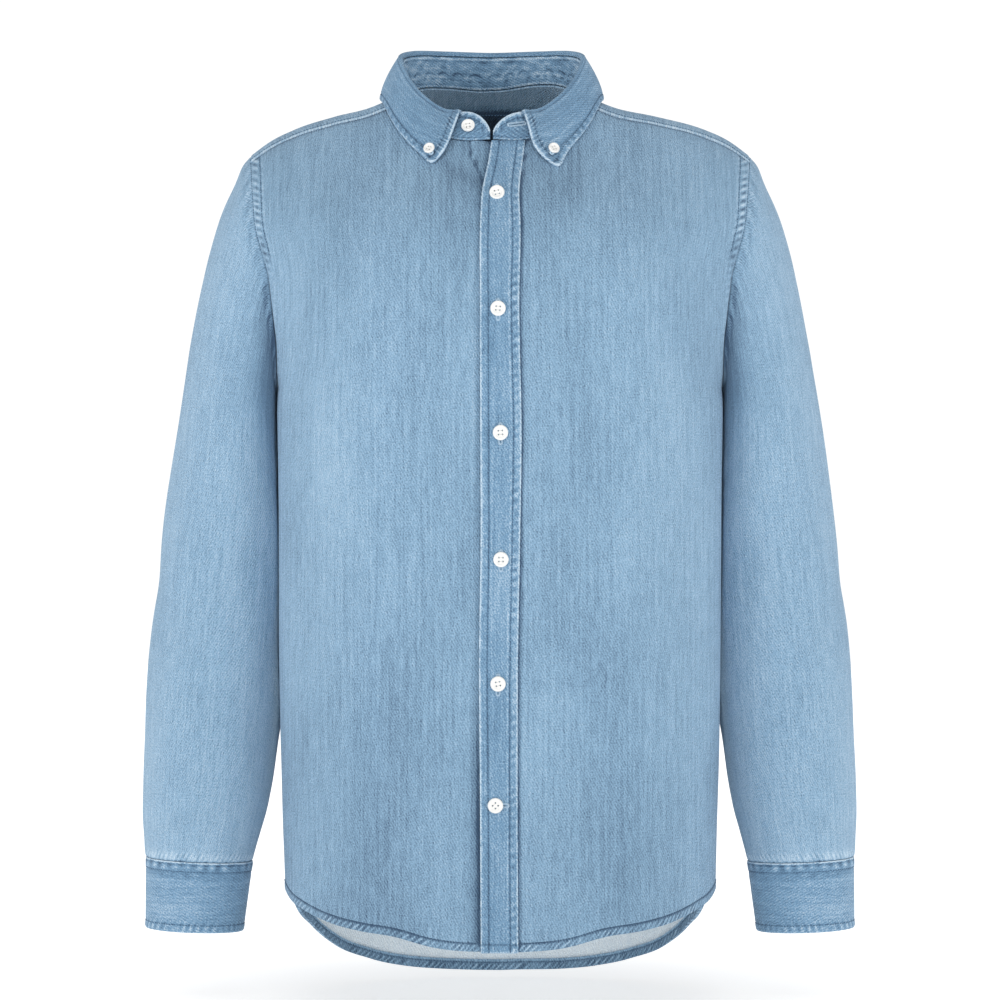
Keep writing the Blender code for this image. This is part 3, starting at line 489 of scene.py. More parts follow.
@dataclass
class Cloth:
    """One cut piece as a grid of outer points, with the fine relief of its surface and its colour offsets: fading
    and wear, and painted light and shade.
    """

    points: Array
    grain: Array
    inside: Array
    wraps: bool = False
    pale_inside: float = 1.0
    relief: Array = field(init=False)
    # The outer and inner colour offsets hold real fading and wear, and painted light and shade as well.
    wear: Array = field(init=False)
    inner_relief: Array = field(init=False)
    inner_wear_and_shade: Array = field(init=False)
    phase: Array = field(init=False)
    ruck: Array = field(init=False)

    def __post_init__(self) -> None:
        """Starts with a plain, unworn face on both sides."""
        self.relief, self.wear, self.inner_relief, self.inner_wear_and_shade, self.phase, self.ruck = (
            np.zeros((6, *self.points.shape[:2]))
        )

    def normals(self) -> Array:
        """Returns unit normals at the grid's points, out of the outer face."""
        if self.wraps:
            across = np.roll(self.points, -1, axis=1) - np.roll(self.points, 1, axis=1)
        else:
            across = np.gradient(self.points, axis=1)
        normals = unit(np.cross(across, np.gradient(self.points, axis=0)))
        return -normals if (normals * (self.points - self.inside)).sum() < 0 else normals

    def push(self, amount: Array) -> None:
        """Moves the whole wall outwards, or inwards where the amount is negative."""
        self.points = self.points + self.normals() * amount[..., None]

    def gather(self, place: Array, pitch: float, strength: Array) -> None:
        """Adds fine rucks, finer than the grid, where their strength is more than what is there.

        Args:
            place: How far along the edge each point lies, in metres, in a straight run.
            pitch: The rucks' spacing.
            strength: How strong they are.
        """
        stronger = strength > self.ruck
        spread = stronger | (self.ruck <= 0)
        self.phase = np.where(spread, 2 * np.pi * place / pitch, self.phase)
        self.ruck = np.where(stronger, strength, self.ruck)

    def across(self) -> tuple[Array, Array]:
        """Returns each point's distances from the first and the last column, along its row."""
        run = row_lengths(self.points)
        return run, run[:, -1:] - run

    def up(self) -> tuple[Array, Array]:
        """Returns each point's distances from the first and the last row, along its column."""
        run = row_lengths(self.points.transpose(1, 0, 2)).T
        return run, run[-1:, :] - run

    def mirrored(self, wing: int) -> "Cloth":
        """Returns the cloth of the wearer's left side, or turned over for the right (-1)."""
        self.points, self.inside = self.points * [wing, 1.0, 1.0], self.inside * [wing, 1.0, 1.0]
        return self

    def area(self) -> float:
        """Returns the outer face's area."""
        points = np.concatenate([self.points, self.points[:, :1]], axis=1) if self.wraps else self.points
        first = points[1:, 1:] - points[:-1, :-1]
        second = points[1:, :-1] - points[:-1, 1:]
        return float(np.linalg.norm(np.cross(first, second), axis=2).sum() / 2)


@dataclass(frozen=True)
class Tailor:
    """Turns grids of cloth into closed shells, and carries what every piece needs."""

    body: str = BODY
    sharp_angle: float = 50.0

    def sew(self, name: str, cloth: Cloth, thickness: float, material: Material, inner_step: int = 2) -> Object:
        """Builds one closed shell.

        Args:
            name: The piece's name.
            cloth: Its grid. Rows and columns are odd in number, or the columns even where it wraps.
            thickness: The cloth's thickness.
            material: Its finish.
            inner_step: How many outer cells one inner cell spans.

        Returns:
            The new piece.
        """
        normals, wraps, step = cloth.normals(), cloth.wraps, inner_step
        outer = cloth.points + normals * cloth.relief[..., None]
        inner = (cloth.points - normals * (thickness + cloth.inner_relief)[..., None])[::step, ::step]
        rows, columns = outer.shape[:2]
        in_rows, in_columns = inner.shape[:2]
        outer_at = np.arange(rows * columns).reshape(rows, columns)
        inner_at = np.arange(in_rows * in_columns).reshape(in_rows, in_columns) + rows * columns
        faces = self._quads(outer_at, wraps) + [face[::-1] for face in self._quads(inner_at, wraps)]
        grids = (outer_at, inner_at)
        if wraps:
            grids = tuple(np.concatenate([at, at[:, :1]], axis=1) for at in grids)
        rims = [[at[0] for at in grids], [at[-1][::-1] for at in grids]]
        if not wraps:
            rims += [[at[::-1, 0] for at in grids], [at[:, -1] for at in grids]]
        for long_edge, short_edge in rims:
            faces += self._rim(long_edge, short_edge, step)
        points = np.concatenate([outer.reshape(-1, 3), inner.reshape(-1, 3)])
        first, second = points[faces[0][1]] - points[faces[0][0]], points[faces[0][2]] - points[faces[0][0]]
        if np.dot(np.cross(first, second), normals[0, 0]) < 0:
            faces = [face[::-1] for face in faces]
        mesh = bpy.data.meshes.new(name)
        mesh.from_pydata(points.tolist(), [], faces)
        within = np.full(in_rows * in_columns, cloth.pale_inside)
        marks = {
            "relief": (cloth.relief, cloth.inner_relief[::step, ::step]),
            "wear": (cloth.wear, cloth.inner_wear_and_shade[::step, ::step]),
            "phase": (cloth.phase, 0 * within),
            "ruck": (cloth.ruck, 0 * within),
            "inside": (np.zeros(rows * columns), within),
        }
        for mark, faces_values in marks.items():
            values = np.concatenate([np.ravel(face_values) for face_values in faces_values])
            layer = mesh.attributes.new(name=mark, type="FLOAT", domain="POINT")
            layer.data.foreach_set("value", values.astype(np.float32))
        grain = np.concatenate([cloth.grain.reshape(-1, 2), cloth.grain[::step, ::step].reshape(-1, 2)])
        layer = mesh.uv_layers.new(name="Grain")
        corner = np.empty(len(mesh.loops), dtype=np.int64)
        mesh.loops.foreach_get("vertex_index", corner)
        layer.data.foreach_set("uv", grain[corner].ravel())
        mesh.shade_smooth()
        mesh.set_sharp_from_angle(angle=math.radians(self.sharp_angle))
        mesh.update()
        LOG.info("%s: %d faces", name, len(mesh.polygons))
        return placed(name, mesh, material)

    @staticmethod
    def _quads(at: Array, wraps: bool) -> list[tuple[int, ...]]:
        """Returns a grid's faces."""
        if wraps:
            at = np.concatenate([at, at[:, :1]], axis=1)
        corners = np.stack([at[:-1, :-1], at[:-1, 1:], at[1:, 1:], at[1:, :-1]], axis=-1)
        return [tuple(face) for face in corners.reshape(-1, 4).tolist()]

    @staticmethod
    def _rim(long_edge: Array, short_edge: Array, step: int) -> list[tuple[int, ...]]:
        """Returns the faces between a fine outer edge and a coarser inner one."""
        faces = []
        long_list, short_list = long_edge.tolist(), short_edge.tolist()
        for k in range(len(short_list) - 1):
            at = k * step
            faces.append(tuple(long_list[at:at + step + 1][::-1] + [short_list[k], short_list[k + 1]]))
        return faces

    def dress(self, piece: Object, slot: str, nodes: Sequence[str] = ()) -> Object:
        """Makes a piece ride on the shirt and stand for its solids.

        Args:
            piece: The piece.
            slot: The record's material slot; not used.
            nodes: The solids that it stands for.

        Returns:
            The piece.
        """
        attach(piece, self.body)
        if nodes:
            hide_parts(*nodes)
        return piece


@dataclass
class Panel:
    """What every cut piece has: the form that it follows, its tailor, its finish and how it is sewn."""

    form: BodyForm
    tailor: Tailor
    finish: Material
    thickness: ClassVar[float] = 0.0013
    slot: ClassVar[str] = "body_denim"
    inner_step: ClassVar[int] = 2

    def make(self, name: str, *wing: int) -> tuple[Object, Cloth]:
        """Builds a piece and returns it with its cloth."""
        cloth = self.build(*wing)
        piece = self.tailor.sew(f"{name}_cloth", cloth, self.thickness, self.finish, self.inner_step)
        return self.tailor.dress(piece, self.slot, [name]), cloth


@dataclass(frozen=True)
class Shading:
    """Adds shader nodes to one tree."""

    tree: NodeTree

    def add(self, kind: str, inputs: dict[int | str, Any], out: int | str = 0, **settings: Any) -> NodeSocket:
        """Adds a node.

        Args:
            kind: Its type, without the word that all types begin with.
            inputs: A number, a colour or another node's socket for each input that is set.
            out: Which of its outputs is returned.
            settings: Its other settings.

        Returns:
            The output.
        """
        node = self.tree.nodes.new(f"ShaderNode{kind}")
        for name, value in settings.items():
            setattr(node, name, value)
        self.feed(node, inputs)
        return node.outputs[out]

    def feed(self, node: Node, inputs: dict[int | str, Any]) -> None:
        """Sets a node's inputs to numbers, colours or other nodes' sockets."""
        for at, value in inputs.items():
            if isinstance(value, NodeSocket):
                self.tree.links.new(value, node.inputs[at])
            else:
                node.inputs[at].default_value = value

    def math(self, operation: str, *values: Any) -> NodeSocket:
        """Returns the result of one math step on sockets or numbers."""
        return self.add("Math", dict(enumerate(values)), operation=operation)

    def total(self, *parts: tuple[NodeSocket, float]) -> NodeSocket:
        """Returns the weighted sum of several values."""
        result = self.math("MULTIPLY", *parts[0])
        for value, weight in parts[1:]:
            result = self.math("MULTIPLY_ADD", value, weight, result)
        return result

    def blend(self, share: Any, first: Any, second: Any) -> NodeSocket:
        """Returns the mix of two colours, with the share held between 0 and 1."""
        return self.add("Mix", {0: share, 6: first, 7: second}, 2, data_type="RGBA", clamp_factor=True)


@dataclass(frozen=True)
class PlainFinish:
    """One even colour."""

    name: str
    colour: tuple[float, float, float]
    roughness: float

    def material(self) -> Material:
        """Builds the material."""
        material = bpy.data.materials.new(self.name)
        material.use_nodes = True
        Shading(material.node_tree).feed(material.node_tree.nodes["Principled BSDF"], {
            "Base Color": (*self.colour, 1.0), "Roughness": self.roughness,
        })
        return material


@dataclass(frozen=True)
class DenimFinish(PlainFinish):
    """Light-wash denim: the blue of its raised warp, the pale of its worn ridges and painted highlights, and the
    deep blue of its troughs and painted shade.
    """

    roughness: float = 0.88
    pale: tuple[float, float, float] = (0.56, 0.7, 0.82)
    deep: tuple[float, float, float] = (0.04, 0.085, 0.155)
    back: tuple[float, float, float] = (0.88, 0.95, 0.99)
    fade: float = 0.5
    roughening: float = 0.55
    rib_height: float = 0.0006

    def dyed(self, weave: NodeTree) -> Material:
        """Builds the material round the shared denim group."""
        material = self.material()
        shading, shader = Shading(material.node_tree), material.node_tree.nodes["Principled BSDF"]
        marks = {
            mark.capitalize(): shading.add("Attribute", {}, "Fac", attribute_name=mark)
            for mark in ("relief", "wear", "phase", "ruck", "inside")
        }
        dyes = {"Blue": self.colour, "Pale": self.pale, "Deep": self.deep, "Back": self.back}
        grain = shading.add("UVMap", {}, uv_map="Grain")
        colour = shading.add("Group", {}, node_tree=weave)
        shading.feed(colour.node, {
            "Grain": grain, "Fade": self.fade, **marks, **{name: (*dye, 1.0) for name, dye in dyes.items()},
        })
        normal = shading.add("Bump", {
            "Strength": self.roughening, "Distance": self.rib_height, "Height": colour.node.outputs["Height"],
        })
        shading.feed(shader, {
            "Base Color": colour, "Normal": normal, "Specular IOR Level": 0.25,
            "Sheen Weight": 0.25, "Sheen Roughness": 0.6, "Sheen Tint": (0.75, 0.86, 0.95, 1.0),
        })
        return material


@dataclass(frozen=True)
class Noise:
    """Noise stretched along the warp: its sizes in metres, finer levels, their strength and its place."""

    width: float
    length: float
    detail: float
    rough: float
    shift: float

    def add(self, shading: Shading, grain: NodeSocket) -> NodeSocket:
        """Returns the noise as a value of about -1 to 1."""
        place = shading.add("Mapping", {
            "Vector": grain, "Scale": (1 / self.width, 1 / self.length, 1.0),
            "Location": (self.shift, self.shift * 1.7, self.shift * 0.3),
        })
        noise = shading.add("TexNoise", {
            "Vector": place, "Scale": 1.0, "Detail": self.detail, "Roughness": self.rough,
        }, "Fac")
        return shading.math("MULTIPLY_ADD", noise, 2.6, -1.3)


@dataclass(frozen=True)
class WeaveGroup:
    """The shared denim effect: fine twill, slubby upright yarns, specks, washed clouds, worn seams, and the painted
    light and shade that come in with the wear offsets.
    """

    yarn: Noise = Noise(0.0013, 0.017, 2.0, 0.6, 0.0)
    streak: Noise = Noise(0.0024, 0.11, 2.0, 0.5, 3.0)
    speck: Noise = Noise(0.0011, 0.0013, 1.0, 0.5, 7.0)
    mottle: Noise = Noise(0.0055, 0.013, 2.0, 0.55, 11.0)
    washed: Noise = Noise(0.055, 0.055 * 2.2, 2.0, 0.5, 17.0)
    twill_width: float = 0.0021
    twill_slant: float = -28.0

    def build(self) -> NodeTree:
        """Builds the group, whose outputs are a colour and a height."""
        tree = bpy.data.node_groups.new("denim_weave", "ShaderNodeTree")
        for kind, way, names in (
            ("NodeSocketVector", "INPUT", "Grain"),
            ("NodeSocketColor", "INPUT", "Blue Pale Deep Back"),
            ("NodeSocketFloat", "INPUT", "Fade Relief Wear Phase Ruck Inside"),
            ("NodeSocketColor", "OUTPUT", "Color"),
            ("NodeSocketFloat", "OUTPUT", "Height"),
        ):
            for name in names.split():
                tree.interface.new_socket(name, in_out=way, socket_type=kind)
        tree.interface.items_tree["Fade"].default_value = 0.5
        given = tree.nodes.new("NodeGroupInput").outputs
        result = tree.nodes.new("NodeGroupOutput")
        shading = Shading(tree)
        yarn, streak, speck, mottle, washed = (
            noise.add(shading, given["Grain"])
            for noise in (self.yarn, self.streak, self.speck, self.mottle, self.washed)
        )
        twill = self._twill(shading, given["Grain"])
        tone = shading.total(
            (yarn, 0.66), (streak, 0.5), (speck, 1.3), (mottle, 0.24), (washed, 0.36), (twill, 0.26),
        )
        rucks = shading.math("MULTIPLY", shading.math("SINE", given["Phase"]), given["Ruck"])
        relief = shading.math("MULTIPLY_ADD", given["Relief"], COLOUR_PER_METRE, rucks)
        # The colour offsets hold real wear and painted light and shade alike; they lighten towards the pale dye and
        # darken towards the deep one.
        worn_and_shaded = shading.math("ADD", relief, given["Wear"])
        specked_wear_and_shade = shading.math("MULTIPLY", worn_and_shaded, shading.math("MULTIPLY_ADD", speck, 0.4, 1.0))
        level = shading.math("ADD", shading.math("MULTIPLY", tone, given["Fade"]), specked_wear_and_shade)
        light = shading.math("MAXIMUM", level, 0.0)
        dark = shading.math("MAXIMUM", shading.math("MULTIPLY", level, -1.0), 0.0)
        faded_and_lit = shading.blend(light, given["Blue"], given["Pale"])
        shaded = shading.blend(dark, faded_and_lit, given["Deep"])
        # Painted shade: where the offsets are darkest, the colour falls further to near black, standing for the deep
        # shadow inside the neck.
        painted_void_shade = shading.add("VectorMath", {0: given["Deep"], "Scale": 0.1}, operation="SCALE")
        shaded = shading.blend(shading.math("SUBTRACT", dark, 1.5), shaded, painted_void_shade)
        weft = shading.blend(shading.math("MULTIPLY_ADD", tone, 0.22, 0.14), given["Back"], shaded)
        colour = shading.blend(given["Inside"], shaded, weft)
        height = shading.total((yarn, 0.7), (speck, 0.8), (twill, 0.5), (mottle, 0.4), (rucks, 1.6))
        shading.feed(result, {"Color": colour, "Height": height})
        return tree

    def _twill(self, shading: Shading, grain: NodeSocket) -> NodeSocket:
        """Returns the slanted ribs of the twill, as a value of -1 to 1."""
        place = shading.add("Mapping", {
            "Vector": grain, "Rotation": (0.0, 0.0, math.radians(self.twill_slant)),
            "Scale": (1 / self.twill_width,) * 3,
        })
        ribs = shading.add("TexWave", {
            "Vector": place, "Scale": 0.314, "Distortion": 1.2, "Detail": 1.0,
        }, "Fac", wave_profile="SIN")
        return shading.math("MULTIPLY_ADD", ribs, 2.0, -1.0)


@dataclass(frozen=True)
class Seam:
    """A stitched band beside an edge: its row of stitches, its puff, puckers, blotches and worn edge."""

    stitch: float = 0.0065
    puff: float = 0.00022
    groove: float = 0.0003
    shade: float = 0.3
    tone: float = -0.06
    pucker: float = 0.00024
    period: float = 0.006
    slant: float = 0.5
    spread: float = 0.0045
    blotch: float = 0.25
    blotch_period: float = 0.0085
    blotch_place: float = 0.5
    blotch_size: float = 0.26
    edge_round: float = 0.0003
    edge_wear: float = 0.75
    edge_width: float = 0.0009
    ridge_wear: float = 0.0
    seed: int = 1

    def puckers(self, from_edge: Array, along: Array) -> Array:
        """Returns the puckers' wave of about -1 to 1, strongest beside the stitches.

        Args:
            from_edge: Distances from the edge.
            along: Distances along it.

        Returns:
            The wave.
        """
        turn = along / self.period + 0.55 * wander(along, self.seed, self.period * 3.1)
        turn = turn + self.slant * from_edge / self.stitch
        strength = uneven(0.45, along, self.seed + 5, self.period * 2.3)
        inner_end = ramp(from_edge, self.stitch + self.spread, self.stitch)
        return np.sin(2 * np.pi * turn) * strength * ramp(from_edge, -0.0004, self.stitch * 0.35) * inner_end

    def blotches(self, from_edge: Array, along: Array) -> Array:
        """Returns the dark and pale spots that washing leaves in the band, dark below 0."""
        turn = along / self.blotch_period + 0.4 * wander(along, self.seed + 13, self.blotch_period * 2.1)
        wave = np.sin(2 * np.pi * turn)
        size = uneven(0.4, along, self.seed + 17, self.blotch_period * 1.7)
        middle = self.stitch * self.blotch_place
        dark = ramp(wave, 0.05, 0.55) * size * bump(from_edge, middle, self.stitch * self.blotch_size)
        pale = ramp(-wave, -0.3, 0.5) * size * bump(from_edge, middle, self.stitch * 0.4)
        return 0.55 * pale - 1.1 * dark

    def press(
        self, cloth: Cloth, from_edge: Array, along: Array, inner: bool = False, share: Array | float = 1.0
    ) -> None:
        """Adds the band to a piece.

        Args:
            cloth: The piece.
            from_edge: Its points' distances from the edge.
            along: Their distances along it.
            inner: Whether the band shows on the inner face.
            share: How much of it is kept at each point.
        """
        band = ramp(from_edge, 0.0, self.stitch * 0.35) * ramp(from_edge, self.stitch, self.stitch * 0.8)
        relief = self.puff * band - self.groove * bump(from_edge, self.stitch, 0.0008)
        relief = relief + self.pucker * self.puckers(from_edge, along)
        relief = relief - self.edge_round * bump(from_edge, 0.0, 0.0006)
        frayed = uneven(0.26, along, self.seed + 9, 0.0035)
        wear = self.edge_wear * bump(from_edge, 0.0003, self.edge_width) * frayed
        wear = wear + (self.tone - self.puff * COLOUR_PER_METRE) * band
        wear = wear + (self.groove * COLOUR_PER_METRE - self.shade) * bump(from_edge, self.stitch, 0.0008)
        if inner:
            wear = wear + self.blotch * self.blotches(from_edge, along)
        elif self.blotch:
            drift = wander(along, self.seed + 13, self.blotch_period * 3.1)
            place = along + self.blotch_period * 0.35 * drift
            size = uneven(0.35, along, self.seed + 17, self.blotch_period * 2.3)
            middle = self.stitch * self.blotch_place
            spots = self.blotch * size * bump(from_edge, middle, self.stitch * self.blotch_size * 1.3)
            cloth.gather(place, self.blotch_period, spots * share)
        wear = wear + self.ridge_wear * bump(from_edge, self.stitch + 0.0016, 0.0008) * frayed
        if inner:
            cloth.inner_relief += relief * share
            cloth.inner_wear_and_shade += wear * share
        else:
            cloth.relief += relief * share
            cloth.wear += wear * share


class Edge(Enum):
    """An edge of a grid of cloth."""

    FIRST_COLUMN = "first column"
    LAST_COLUMN = "last column"
    FIRST_ROW = "first row"
    LAST_ROW = "last row"


class Row(NamedTuple):
    """Where a row of stitches runs beside an edge, on the outer face or under it, and where it is kept."""

    edge: Edge
    distance: float
    under: float = 0.0
    above: float = -math.inf
    behind: float = -math.inf
    before: float = math.inf
    start: float = 0.0


@dataclass(frozen=True)
class SeamLine:
    """The line that a row of stitches follows: its points, the face's normals there and where it starts."""

    points: Array
    normals: Array
    start: float = 0.0

    @classmethod
    def beside(cls, cloth: Cloth, row: Row) -> "SeamLine":
        """Finds the line that runs beside an edge of a piece.

        Args:
            cloth: The piece.
            row: Where the line runs.

        Returns:
            The line.
        """
        normals = cloth.normals()
        lift = -(cloth.inner_relief + row.under) if row.under else cloth.relief
        face = cloth.points + normals * lift[..., None]
        if row.edge in (Edge.FIRST_ROW, Edge.LAST_ROW):
            face, normals = face.transpose(1, 0, 2), normals.transpose(1, 0, 2)
        if row.edge in (Edge.LAST_COLUMN, Edge.LAST_ROW):
            face, normals = face[:, ::-1], normals[:, ::-1]
        runs = row_lengths(face)
        points = np.array([sampled(row.distance, run, line) for run, line in zip(runs, face)])
        ups = np.array([sampled(row.distance, run, up) for run, up in zip(runs, normals)])
        ups = unit(ups) * (-1 if row.under else 1)
        keep = (points[:, 2] > row.above) & (points[:, 1] > row.behind) & (points[:, 1] < row.before)
        return cls(points[keep], ups[keep], row.start)


@dataclass
class Fronts(Panel):
    """The two fronts. The wearer's right one dips under the placket."""

    spacing: float = 0.0027
    centre_steps: float = 7.0
    all_steps: float = 14.0
    arc_length: float = 0.235
    side_length: float = 0.46
    armhole_length: float = 0.21
    armhole_spacing: float = 0.0015
    hem_lap: float = 0.003
    tuck: float = 0.006
    under_placket: float = 0.0022
    armhole_seam: Seam = Seam(
        stitch=0.0104, puff=0.0004, pucker=0.0003, period=0.0066, slant=0.25, blotch=0.9,
        blotch_period=0.0066, blotch_size=0.22, tone=0.04, edge_wear=-0.2, edge_width=0.0006,
        ridge_wear=0.42, seed=21,
    )
    neck_seam: Seam = Seam(
        stitch=0.0018, puff=0.0, groove=0.0, shade=0.0, tone=-0.25, pucker=0.00034, period=0.0056,
        spread=0.008, blotch=0.0, edge_wear=-0.35, edge_width=0.0022, seed=25,
    )

    def places(self, wing: int) -> tuple[Array, Array]:
        """Lays out a front's grid.

        Args:
            wing: 1 for the wearer's left front and -1 for the right.

        Returns:
            Places across and heights.
        """
        form = self.form
        shares = np.sin(np.pi / 2 * stations(self.arc_length, self.spacing, fine_end=True))[None, :]
        low = stations(self.side_length, self.spacing)
        high = stations(self.armhole_length, self.armhole_spacing, fine_end=True)[1:] * self.all_steps
        level = mix(form.hem_height(np.array(0.0), -1) + self.hem_lap, form.underarm_height, low)
        edge_name = "sewn_edge" if wing > 0 else "under_edge"
        tuck = self.tuck if wing > 0 else 0.0
        centre = form.placket.read(edge_name, level) - tuck
        edge = form.panel_edge(mix(form.side_hem_height, form.underarm_height, low))
        x_low = mix(centre[:, None], wing * edge[:, None], shares)
        z_low = mix(form.hem_height(x_low, -1) + self.hem_lap, form.underarm_height, low[:, None])
        turn = -180.0 + (form.yoke_front_station + 180.0) * high / self.all_steps
        edge_x, _, edge_z = form.armhole(turn)
        neck_z180 = form.neck_place(np.array(180.0))[1]
        first_turn = 158.7 if wing > 0 else 179.7
        neck_turn = mix(first_turn, form.yoke_neck_angle, np.clip(high / self.centre_steps - 1, 0, 1))
        neck_x, neck_z = form.neck_place(wing * neck_turn)
        centre_z = mix(form.underarm_height, neck_z180, np.clip(high / self.centre_steps, 0, 1))
        centre_x = form.placket.read(edge_name, centre_z) - tuck * ramp(high, 7.0, 6.0)
        in_neck = high >= self.centre_steps
        inner_x = np.where(in_neck, neck_x, centre_x)[:, None]
        inner_z = np.where(in_neck, neck_z, centre_z)[:, None]
        x_high = mix(inner_x, wing * edge_x[:, None], shares)
        level_high = mix(inner_z, edge_z[:, None], shares)
        inner_drop = form.ridge_height(inner_x) - inner_z
        edge_drop = form.ridge_height(edge_x)[:, None] - edge_z[:, None]
        ridged = form.ridge_height(x_high) - mix(inner_drop, edge_drop, shares)
        z_high = mix(level_high, ridged, ramp(high / self.centre_steps)[:, None])
        return np.concatenate([x_low, x_high]), np.concatenate([z_low, z_high])

    def neck_rows(self) -> int:
        """Returns how many of the grid's top rows start at the neck seam."""
        high = stations(self.armhole_length, self.armhole_spacing, fine_end=True)[1:] * self.all_steps
        return int((high >= self.centre_steps).sum())

    def face(self, x: Array, z: Array, wing: int) -> Cloth:
        """Returns bare cloth on a front, with its hollows and its dip under the placket.

        Args:
            x: Places across.
            z: Heights.
            wing: 1 for the wearer's left front and -1 for the right.

        Returns:
            The cloth.
        """
        form = self.form
        cloth = Cloth(form.torso_point(x, z, -1.0), np.zeros((*x.shape, 2)), form.middle)
        cloth.grain = np.stack([warp_place(x), z], axis=-1)
        away = np.abs(x)
        soft = 0.0007 * cloud(x, z, 31, 0.045, 0.12) + 0.0004 * cloud(x, z, 37, 0.02, 0.055)
        drag = 0.0006 * np.sin((away * 0.55 + z * 0.85) / 0.016)
        drag = drag * bump(z, -0.2, 0.055) * bump(away, 0.165, 0.03)
        if wing < 0:
            free = form.placket.read("free_edge", z)
            past = x - free
            sunk = self.under_placket * ramp(past, -0.012, -0.0005) + 0.0006 * ramp(past, -0.05, -0.012)
            paler = ramp(-z, 0.085, 0.12) * (1 - 0.6 * ramp(-z, 0.2, 0.3))
            # The pale line 5.5 mm from the placket's free edge is a worn ridge; the dark line at the edge itself is
            # a painted shadow of the placket.
            cloth.wear += 0.26 * bump(past, -0.0055, 0.001) * paler - 0.3 * bump(past, -0.0004, 0.0012)
            # Painted shade beside the placket's free edge, near the top.
            open_top = ramp(-z, 0.095, 0.066)
            cloth.wear -= 0.16 * bump(past, 0.0, 0.0075) * open_top
            # Painted shade along a slanted drag line above the first button.
            drag_line = x + 0.018 + (z + 0.078) * 1.36
            dragged = bump(z, -0.066, 0.017) * ramp(x, -0.062, -0.04)
            cloth.wear -= 0.3 * bump(drag_line, 0.0, 0.011) * dragged
            past_stitch, sewn_high = x - self.own_stitch(z), ramp(-z, 0.1, 0.085)
            cloth.wear -= 0.25 * bump(past_stitch, 0.0, 0.0016) * sewn_high
            cloth.wear += 0.22 * bump(past_stitch, 0.003, 0.0014) * ramp(-z, 0.08, 0.06)
            cloth.relief -= 0.0004 * bump(past_stitch, 0.0, 0.0011) * sewn_high
        else:
            sewn = form.placket.read("sewn_edge", z)
            sunk = 0.0015 * ramp(x - sewn, 0.0012, -0.0012)
            # Painted shadow along the placket's sewn edge.
            cloth.wear -= 0.75 * bump(x - sewn, 0.0004, 0.001)
        cloth.push((soft + drag) * ramp(away, 0.02, 0.05) - sunk)
        self._paint_light_shade_and_tone(cloth, x, z)
        return cloth

    def build(self, wing: int) -> Cloth:
        """Makes a front's cloth, down to the hem strip.

        Args:
            wing: 1 for the wearer's left front and -1 for the right.

        Returns:
            The cloth.
        """
        form = self.form
        x, z = self.places(wing)
        cloth = self.face(x, z, wing)
        cloth.points = form.drawn_in(cloth.points)
        (across, from_side), (up, from_yoke) = cloth.across(), cloth.up()
        share = ramp(z, form.underarm_height - 0.01, form.underarm_height + 0.012)
        share = share * mix(0.2, 1.0, ramp(z, -0.152, -0.126))
        self.armhole_seam.press(cloth, from_side, z + 0.25 * from_side + 0.4 * wing, share=share)
        in_neck = ramp(z, -0.11, -0.1) * (np.arange(len(x)) >= len(x) - self.neck_rows())[:, None]
        self.neck_seam.press(cloth, across, up, share=in_neck)
        rucked = 0.38 * bump(across, 0.003, 0.0042) * in_neck * uneven(0.45, up, 26, 0.012)
        cloth.gather(up + 0.4 * across, 0.0058, rucked)
        # Painted shadow below the yoke's edge.
        cloth.wear -= 0.75 * bump(from_yoke, 0.0, 0.003) * ramp(across, 0.0, 0.01)
        cloth.relief -= 0.0004 * bump(from_yoke, 0.0, 0.0016)
        cloth.relief -= 0.0008 * bump(from_side, 0.0, 0.001) * (1 - share)
        cloth.wear += 0.34 * bump(from_side, 0.0016, 0.0007) * share * uneven(0.3, up, 29, 0.009)
        cloth.wear += 0.3 * bump(from_side, 0.0, 0.0018) * (1 - share) * ramp(z, -0.62, -0.4)
        # Painted shade a little in from the armhole edge, where the seam turns under at the top of the sleeve's
        # crease.
        deep_start = ramp(z, -0.142, -0.13) * ramp(z, -0.11, -0.124)
        cloth.wear -= 0.34 * bump(from_side, 0.006, 0.005) * deep_start
        if wing < 0:
            free = form.placket.read("free_edge", z)
            # Painted shadow of the placket on the right front, low down.
            cloth.wear -= 0.8 * bump(x - free, 0.0, 0.0065) * ramp(-z, 0.47, 0.6)
        above_hem = 0.16 * bump(up, 0.0085, 0.005) * uneven(0.5, across, 27, 0.02)
        cloth.gather(across, 0.0054, above_hem)
        return cloth

    def own_line(self, cloth: Cloth) -> "SeamLine":
        """Finds the slanted row of stitches of the right front's own edge, seen above the first button.

        Args:
            cloth: The right front.

        Returns:
            The line.
        """
        normals = cloth.normals()
        face = cloth.points + normals * cloth.relief[..., None]
        rows = [k for k, row in enumerate(face) if -0.072 < row[0, 2] < -0.04]
        at = [self.own_stitch(face[k, 0, 2]) for k in rows]
        points, ups = (
            np.array([sampled(x, face[k, ::-1, 0], lines[k, ::-1]) for x, k in zip(at, rows)])
            for lines in (face, normals)
        )
        return SeamLine(points, unit(ups))

    @staticmethod
    def own_stitch(height: Array) -> Array:
        """Returns where the right front's own stitches run across at a height."""
        return mix(-0.0255, -0.012, ramp(-height, 0.04, 0.078))

    @staticmethod
    def _paint_light_shade_and_tone(cloth: Cloth, x: Array, z: Array) -> None:
        """Paints light and shade on a front: lighter over the chest, darker in the skirt's fold troughs, below the
        collar, on the sides low down and a little all over; and adds random cloudy tone.
        """
        away = np.abs(x)
        # Painted light and shade: lighter over the chest, and the whole front a little darker.
        chest_light_and_overall_shade = 0.17 * bump(away, 0.135, 0.034) * bump(z, -0.29, 0.13) - 0.16
        fold = mix(0.06, 0.105, ramp(-z, 0.35, 0.62))
